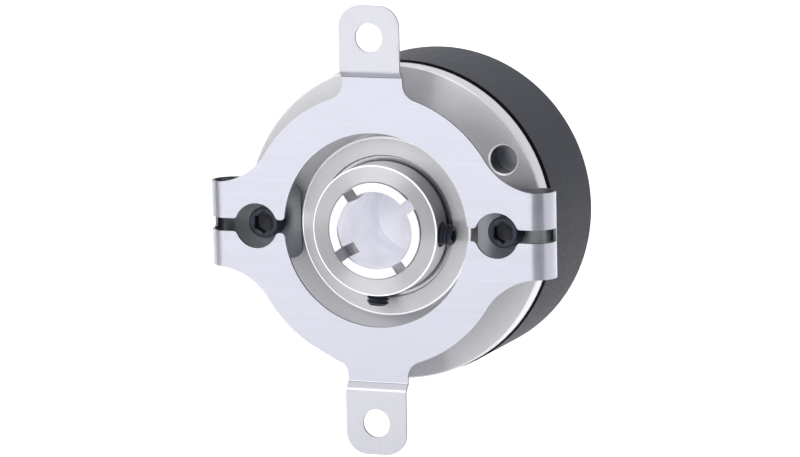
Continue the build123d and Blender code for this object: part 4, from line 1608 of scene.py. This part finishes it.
        # The clamp ring's broken front edge gets a painted highlight.
        dresser.inside(ring, "edge_painted_highlight", self._on_ring_edge)
        bodies = {"side": Body.SIDE_SCREW, "bottom": Body.BOTTOM_SCREW}
        for name, (axis, tip) in self.screw_axes().items():
            screw = self.set_screw(f"{name}_grub_screw", axis, tip)
            dresser.dress(screw, "black_steel", bodies[name], [f"{name}_set_screw"])


@dataclass
class FrontBearing:
    """The front bearing's races and shields, seen behind the clamp ring."""

    front: float = 6.9
    width: float = 5.0
    outside: float = 13.0
    outer_inside: float = 11.9
    inner_outside: float = 9.6
    bore: float = 8.5
    shield_edge: float = 12.2
    shield_inset: float = 0.2
    shield_sheet: float = 0.25
    ball_circle: float = 10.75
    groove: float = 1.42
    lip: float = 0.05
    inner_edge: float = 0.1
    outer_edge: float = 0.15
    shield_gap: float = 0.2

    def _groove(self, start: float, end: float) -> list[Corner]:
        """Ball groove in a race, as corners of its half section."""
        middle = (self.ball_circle, self.front + self.width / 2)
        return [(x, y, 0) for x, y in arc(middle, self.groove, start, end, 10)]

    def outer(self) -> Piece:
        """The outer race.

        Returns:
            The new object.
        """
        far = self.front + self.width
        step = self.shield_inset + self.shield_sheet
        lean = math.degrees(math.acos((self.outer_inside - self.ball_circle) / self.groove))
        corners = [
            (self.outer_inside, self.front + step, 0),
            (self.shield_edge, self.front + step, 0),
            (self.shield_edge, self.front, self.lip),
            (self.outside, self.front, self.outer_edge),
            (self.outside, far, self.outer_edge),
            (self.shield_edge, far, self.lip),
            (self.shield_edge, far - step, 0),
            (self.outer_inside, far - step, 0),
            *self._groove(lean, -lean),
        ]
        return turned("front_bearing_outer", corners)

    def inner(self) -> Piece:
        """The inner race.

        Returns:
            The new object.
        """
        far = self.front + self.width
        lean = math.degrees(math.acos((self.ball_circle - self.inner_outside) / self.groove))
        corners = [
            (self.bore, self.front, self.outer_edge),
            (self.inner_outside, self.front, self.inner_edge),
            *self._groove(180 + lean, 180 - lean),
            (self.inner_outside, far, self.inner_edge),
            (self.bore, far, self.outer_edge),
        ]
        return turned("front_bearing_inner", corners)

    def shields(self) -> Piece:
        """The two pressed shields.

        Returns:
            The new object.
        """
        radii = (self.inner_outside + self.shield_gap, self.shield_edge)
        edges = (self.lip, self.lip, 0.0, 0.0)
        rear = self.front + self.width - self.shield_inset - self.shield_sheet
        pieces = [
            tube("shield", radii, (start, start + self.shield_sheet), edges)
            for start in (self.front + self.shield_inset, rear)
        ]
        return join("front_bearing_shields", pieces)

    def add(self, dresser: Dresser) -> None:
        """Build and dress the bearing's visible rings.

        Args:
            dresser: gives each piece its finish and its body.
        """
        housing = Body.HOUSING
        # The bearing steel is darkened as painted shade in the recess behind the clamp ring.
        dresser.dress(self.outer(), "bearing_steel", housing, ["front_outer_race"])
        dresser.dress(self.shields(), "shield_steel", housing, ["front_shields"])
        dresser.dress(self.inner(), "bearing_steel", Body.ROTOR, ["front_inner_race"])


@dataclass
class CouplingScrews:
    """The two socket screws that hold the coupling's tabs, and their washers."""

    screw_x: float = 23.25
    tab_front: float = 8.3
    washer: float = 3.0
    washer_hole: float = 1.7
    washer_sheet: float = 0.5
    head: float = 2.9
    head_height: float = 3.1
    shank: float = 1.45
    length: float = 8.0
    hex_key: float = 3.4
    hex_depth: float = 1.8
    hex_mouth: Point = (0.38, 0.16)
    head_edge: float = 0.35
    seat_edge: float = 0.1
    drill: Point = (0.9, 0.25)
    drill_point: float = 0.6
    washer_edges: Edges = (0.0, 0.08, 0.05, 0.0)

    def build(self) -> Piece:
        """Both screws.

        Returns:
            The new object.
        """
        count = 72
        top = self.head_height
        pieces = []
        for side in (-1, 1):
            rings = [
                [Vector((0, -self.length, 0))],
                circle(self.shank, -self.length, count),
                circle(self.shank, 0, count),
                circle(self.head - self.seat_edge, 0, count),
                circle(self.head, self.seat_edge, count),
            ]
            middle = (self.head - self.head_edge, top - self.head_edge)
            for x, y in arc(middle, self.head_edge, 0, 90, 6):
                rings.append(circle(x, y, count))
            rings += hex_socket(self.hex_key, top, self.hex_depth, self.hex_mouth, count)
            rings += [
                circle(self.drill[0], top - self.hex_depth - self.drill[1], count),
                [Vector((0, top - self.hex_depth - self.drill_point, 0))],
            ]
            piece = stack("cap_screw", rings, closed=False)
            place = Vector((side * self.screw_x, self.tab_front - self.washer_sheet, 0))
            pieces.append(stand(piece, place, Vector((0, -1, 0))))
        return join("cap_screws", pieces)

    def _in_socket(self, spot: Vector) -> bool:
        """Whether a spot on a screw's surface is inside its hexagon.

        Args:
            spot: place in millimetres.

        Returns:
            Whether it is.
        """
        from_axis = math.hypot(abs(spot.x) - self.screw_x, spot.z)
        to_corner = self.hex_key / math.sqrt(3)
        into = spot.y - (self.tab_front - self.washer_sheet - self.head_height)
        return from_axis < to_corner and SLACK < into < self.head_height - self.washer_sheet

    def washers(self) -> Piece:
        """Both washers.

        Returns:
            The new object.
        """
        radii = (self.washer_hole, self.washer)
        depths = (self.tab_front - self.washer_sheet, self.tab_front)
        pieces = [
            shift(tube("washer", radii, depths, self.washer_edges, 72), side * self.screw_x)
            for side in (-1, 1)
        ]
        return join("screw_washers", pieces)

    def add(self, dresser: Dresser) -> None:
        """Build and dress the screws.

        Args:
            dresser: gives each piece its finish and its body.
        """
        housing = Body.HOUSING
        screws = dresser.dress(self.build(), "black_steel", housing, ["coupling_screws"])
        # The hex sockets get painted shade.
        dresser.inside(screws, "socket_painted_shade", self._in_socket)
        dresser.dress(self.washers(), "black_steel", housing, ["coupling_washers"])


@dataclass
class Connector:
    """The round threaded connector on the rear."""

    gasket_front: float = 38.0
    gasket: float = 7.5
    flange_front: float = 38.5
    flange: float = 8.5
    thread_front: float = 40.5
    end: float = 51.5
    outside: float = 6.0
    thread_root: float = 5.45
    pitch: float = 1.0
    thread_flank: Point = (2.4, 0.1)
    rows_per_turn: int = 14
    start: float = 33.4
    bore: float = 4.8
    insert_end: float = 43.9
    pin: float = 0.4
    pin_circle: float = 2.75
    pin_count: int = 7
    pin_end: float = 50.1
    pin_start: float = 29.5
    pin_edge: float = 0.3
    gasket_edge: float = 0.1
    flange_edges: Point = (0.2, 0.3)
    relief: float = 1.2
    run_out: float = 0.6
    end_edges: Point = (0.2, 0.15)

    def shell(self) -> Piece:
        """The metal shell with its thread.

        Returns:
            The new object.
        """
        count = 96
        height = self.outside - self.thread_root
        first = self.thread_front + self.relief
        last = self.end - self.end_edges[0]
        front, back = self.flange_edges
        profile = (
            (self.bore, self.start),
            (self.outside, self.start),
            (self.outside, self.flange_front),
            (self.flange - front, self.flange_front),
            (self.flange, self.flange_front + front),
            (self.flange, self.thread_front - back),
            (self.flange - back, self.thread_front),
            (self.thread_root, self.thread_front),
            (self.thread_root, first),
        )
        rings = [circle(radius, depth, count) for radius, depth in profile]
        rows = int((last - first) / self.pitch * self.rows_per_turn)
        for row in range(rows + 1):
            depth = first + (last - first) * row / rows
            full = min(1.0, min(depth - first, last - depth) / self.run_out)

            def radius_at(share: float, full: float = full) -> float:
                """Radius of the thread, which runs out at both ends."""
                return self.thread_root + height * share * full

            rings.append(thread_ring(depth, -self.pitch, count, self.thread_flank, radius_at))
        outer, inner = self.end_edges
        rings += [
            circle(self.thread_root - outer, self.end, count),
            circle(self.bore + inner, self.end, count),
            circle(self.bore, self.end - inner, count),
        ]
        return stack("connector_shell", rings, closed=True)

    def insert(self) -> Piece:
        """The plastic insert."""
        depths = (self.start, self.insert_end)
        return tube("connector_insert", (0.0, self.bore), depths, segments=96)

    def pins(self) -> Piece:
        """The eight round pins.

        Returns:
            The new object.
        """
        places = [Vector((0, 0, 0))]
        for index in range(self.pin_count):
            turn = math.tau * index / self.pin_count
            places.append(about_axis(self.pin_circle, 0, -turn))
        depths = (self.pin_start, self.pin_end)
        edges = (0.0, 0.0, self.pin_edge, 0.0)
        pieces = [
            shift(tube("pin", (0.0, self.pin), depths, edges, 24), place.x, place.z)
            for place in places
        ]
        return join("connector_pins", pieces)

    def seal(self) -> Piece:
        """The gasket under the connector's flange.

        Returns:
            The new object.
        """
        radii = (self.outside, self.gasket)
        depths = (self.gasket_front, self.flange_front)
        edges = (0.0, self.gasket_edge, self.gasket_edge, 0.0)
        return tube("connector_gasket", radii, depths, edges, 96)

    def add(self, dresser: Dresser) -> None:
        """Build and dress the connector.

        Args:
            dresser: gives each piece its finish and its body.
        """
        housing = Body.HOUSING
        dresser.dress(self.shell(), "plug_metal", housing, ["plug_shell"])
        dresser.dress(self.insert(), "plug_plastic", housing, ["plug_insert"])
        dresser.dress(self.pins(), "pin_gold", housing, ["plug_pins"])
        dresser.dress(self.seal(), "seal_rubber", housing, ["plug_gasket"])


@dataclass
class Studio:
    """Camera, floor, lights and surroundings.

    Each of the bright sides is a direction, the cosines from which and to which it brightens, and
    its level there.
    """

    azimuth: float = 21.096
    elevation: float = 9.28
    roll: float = -1.13
    aim_right: float = -4.513
    aim_up: float = -0.413
    distance: float = 825.986
    focal_pixels: float = 4577.36
    ring_depth: float = 1.3
    floor_drop: float = 58.0
    floor_size: float = 3.0
    room: float = 0.3
    ambient: float = 0.2
    bright_sides: tuple = (
        ((0.0, 1.0, 0.0), 0.1, 0.95, 1.0),
        ((-0.866, -0.5, 0.0), 0.2, 0.7, 1.0),
        ((-0.2, -0.54, 0.82), 0.75, 0.97, 1.6),
    )

    def camera(self) -> Piece:
        """Camera where the photograph was taken from.

        Returns:
            The camera.
        """
        turn = math.radians(self.azimuth)
        rise = math.radians(self.elevation)
        lean = math.radians(self.roll)
        back = Vector(
            (math.sin(turn) * math.cos(rise), -math.cos(turn) * math.cos(rise), math.sin(rise))
        )
        level = Vector((math.cos(turn), math.sin(turn), 0))
        upright = back.cross(level)
        right = level * math.cos(lean) + upright * math.sin(lean)
        up = upright * math.cos(lean) - level * math.sin(lean)
        place = back * self.distance - right * self.aim_right - up * self.aim_up
        place.y += self.ring_depth
        data = bpy.data.cameras.new("photo_camera")
        data.sensor_width = SENSOR_WIDTH
        data.lens = self.focal_pixels * SENSOR_WIDTH / PHOTO_WIDTH
        data.clip_start = 0.01
        data.clip_end = 20.0
        camera = placed("photo_camera", data)
        axes = Matrix((right, up, back)).transposed().to_4x4()
        camera.matrix_world = Matrix.Translation(place * MM) @ axes
        bpy.context.scene.camera = camera
        return camera

    def floor(self) -> None:
        """Plain pale floor below the object."""
        bpy.ops.mesh.primitive_plane_add(
            size=self.floor_size, location=(0, 0, -self.floor_drop * MM)
        )
        plane = bpy.context.object
        plane.name = "studio_floor"
        pale = (0.96, 0.96, 0.965, 1.0)
        values = {"Base Color": pale, "Roughness": 0.9, "Specular IOR Level": 0.0}
        plane.data.materials.append(principled("pale_floor", values)[0])

    def light(
        self,
        name: str,
        place: Sequence[float],
        size: Sequence[float],
        watts: float,
        aim: Sequence[float] = (0.0, 0.0, 0.0),
        reflected: bool = False,
    ) -> Piece:
        """Soft box.

        Args:
            name: the light's name.
            place: its centre, in metres.
            size: its width and height, in metres.
            watts: its power.
            aim: the point that it faces, in metres.
            reflected: whether it shows in shiny surfaces.

        Returns:
            The light.
        """
        data = bpy.data.lights.new(name, "AREA")
        data.shape = "RECTANGLE"
        data.size, data.size_y = size
        data.energy = watts
        lamp = placed(name, data)
        lamp.location = place
        lamp.visible_glossy = reflected
        lamp.rotation_mode = "QUATERNION"
        lamp.rotation_quaternion = (Vector(aim) - Vector(place)).to_track_quat("-Z", "Y")
        return lamp

    def surroundings(self) -> None:
        """White backdrop that gives the object only a little light."""
        world = bpy.data.worlds.new("white_studio")
        world.use_nodes = True
        tree = world.node_tree
        shade = tree.nodes["Background"]
        shade.inputs["Color"].default_value = (1.0, 1.0, 1.0, 1.0)
        rays = tree.nodes.new("ShaderNodeLightPath")
        direction = tree.nodes.new("ShaderNodeTexCoord").outputs["Generated"]
        previous = None
        for towards, start, end, level in self.bright_sides:
            inputs = {0: direction, 1: towards}
            lean = add_node(tree, "ShaderNodeVectorMath", inputs, "DOT_PRODUCT")
            inputs = {"Value": lean.outputs["Value"], "From Min": start, "From Max": end}
            inputs |= {"To Min": self.room, "To Max": level}
            side = add_node(tree, "ShaderNodeMapRange", inputs)
            side.interpolation_type = "SMOOTHSTEP"
            inputs = {0: side.outputs["Result"]}
            brighter = add_node(tree, "ShaderNodeMath", inputs, "MAXIMUM")
            if previous:
                tree.links.new(previous, brighter.inputs[1])
            previous = brighter.outputs[0]
        for ray, strength in (("Is Diffuse Ray", self.ambient), ("Is Camera Ray", 1.0)):
            inputs = {"Value": rays.outputs[ray], "To Min": previous, "To Max": strength}
            previous = add_node(tree, "ShaderNodeMapRange", inputs).outputs["Result"]
        tree.links.new(previous, shade.inputs["Strength"])
        bpy.context.scene.world = world

    def flag(self, name: str, place: Sequence[float], size: Sequence[float]) -> None:
        """Black card that only reflections see.

        Args:
            name: the card's name.
            place: its centre, in metres. It faces the shaft axis.
            size: its width and height, in metres.
        """
        bpy.ops.mesh.primitive_plane_add(size=1.0)
        card = bpy.context.object
        card.name = name
        card.scale = (*size, 1.0)
        card.location = place
        card.rotation_mode = "QUATERNION"
        level = Vector((-place[0], -place[1], 0.0))
        card.rotation_quaternion = level.to_track_quat("Z", "Y")
        values = {"Base Color": (0.04, 0.04, 0.04, 1.0), "Roughness": 1.0}
        card.data.materials.append(principled(name, values)[0])
        card.visible_camera = False
        card.visible_diffuse = False
        card.visible_shadow = False
        card.visible_transmission = False

    def build(self) -> None:
        """Set up the whole studio."""
        self.camera()
        self.floor()
        self.surroundings()
        self.flag("right_flag", (0.134, -0.167, 0.11), (0.26, 0.34))
        self.flag("left_flag", (-0.29, -0.08, 0.1), (0.16, 0.32))
        self.light("wash", (0.0, 0.75, 0.95), (1.6, 0.9), 20.5, (0.0, 0.5, -0.06))
        self.light("fill", (0.28, -0.9, 0.25), (0.6, 0.6), 7.5)
        self.light("key", (-0.7, -0.95, 0.35), (0.7, 0.7), 8.0)
        apron = (-0.45, -1.15, 0.6)
        self.light("apron", apron, (1.2, 0.8), 4.5, (-0.2, -0.8, 0.0), reflected=True)
        bpy.context.scene.view_settings.view_transform = "Standard"


def main() -> None:
    """Build the scene round the frame."""
    logging.basicConfig(level=logging.INFO, format="%(name)s: %(message)s")
    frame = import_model()
    dresser = Dresser()
    dresser.paint_frame(frame)
    parts = (
        SteelSheet(),
        Flange(),
        Cover(),
        Rotor(),
        FrontBearing(),
        CouplingScrews(),
        Connector(),
    )
    for part in parts:
        part.add(dresser)
    Studio().build()


if __name__ == "__main__":
    main()
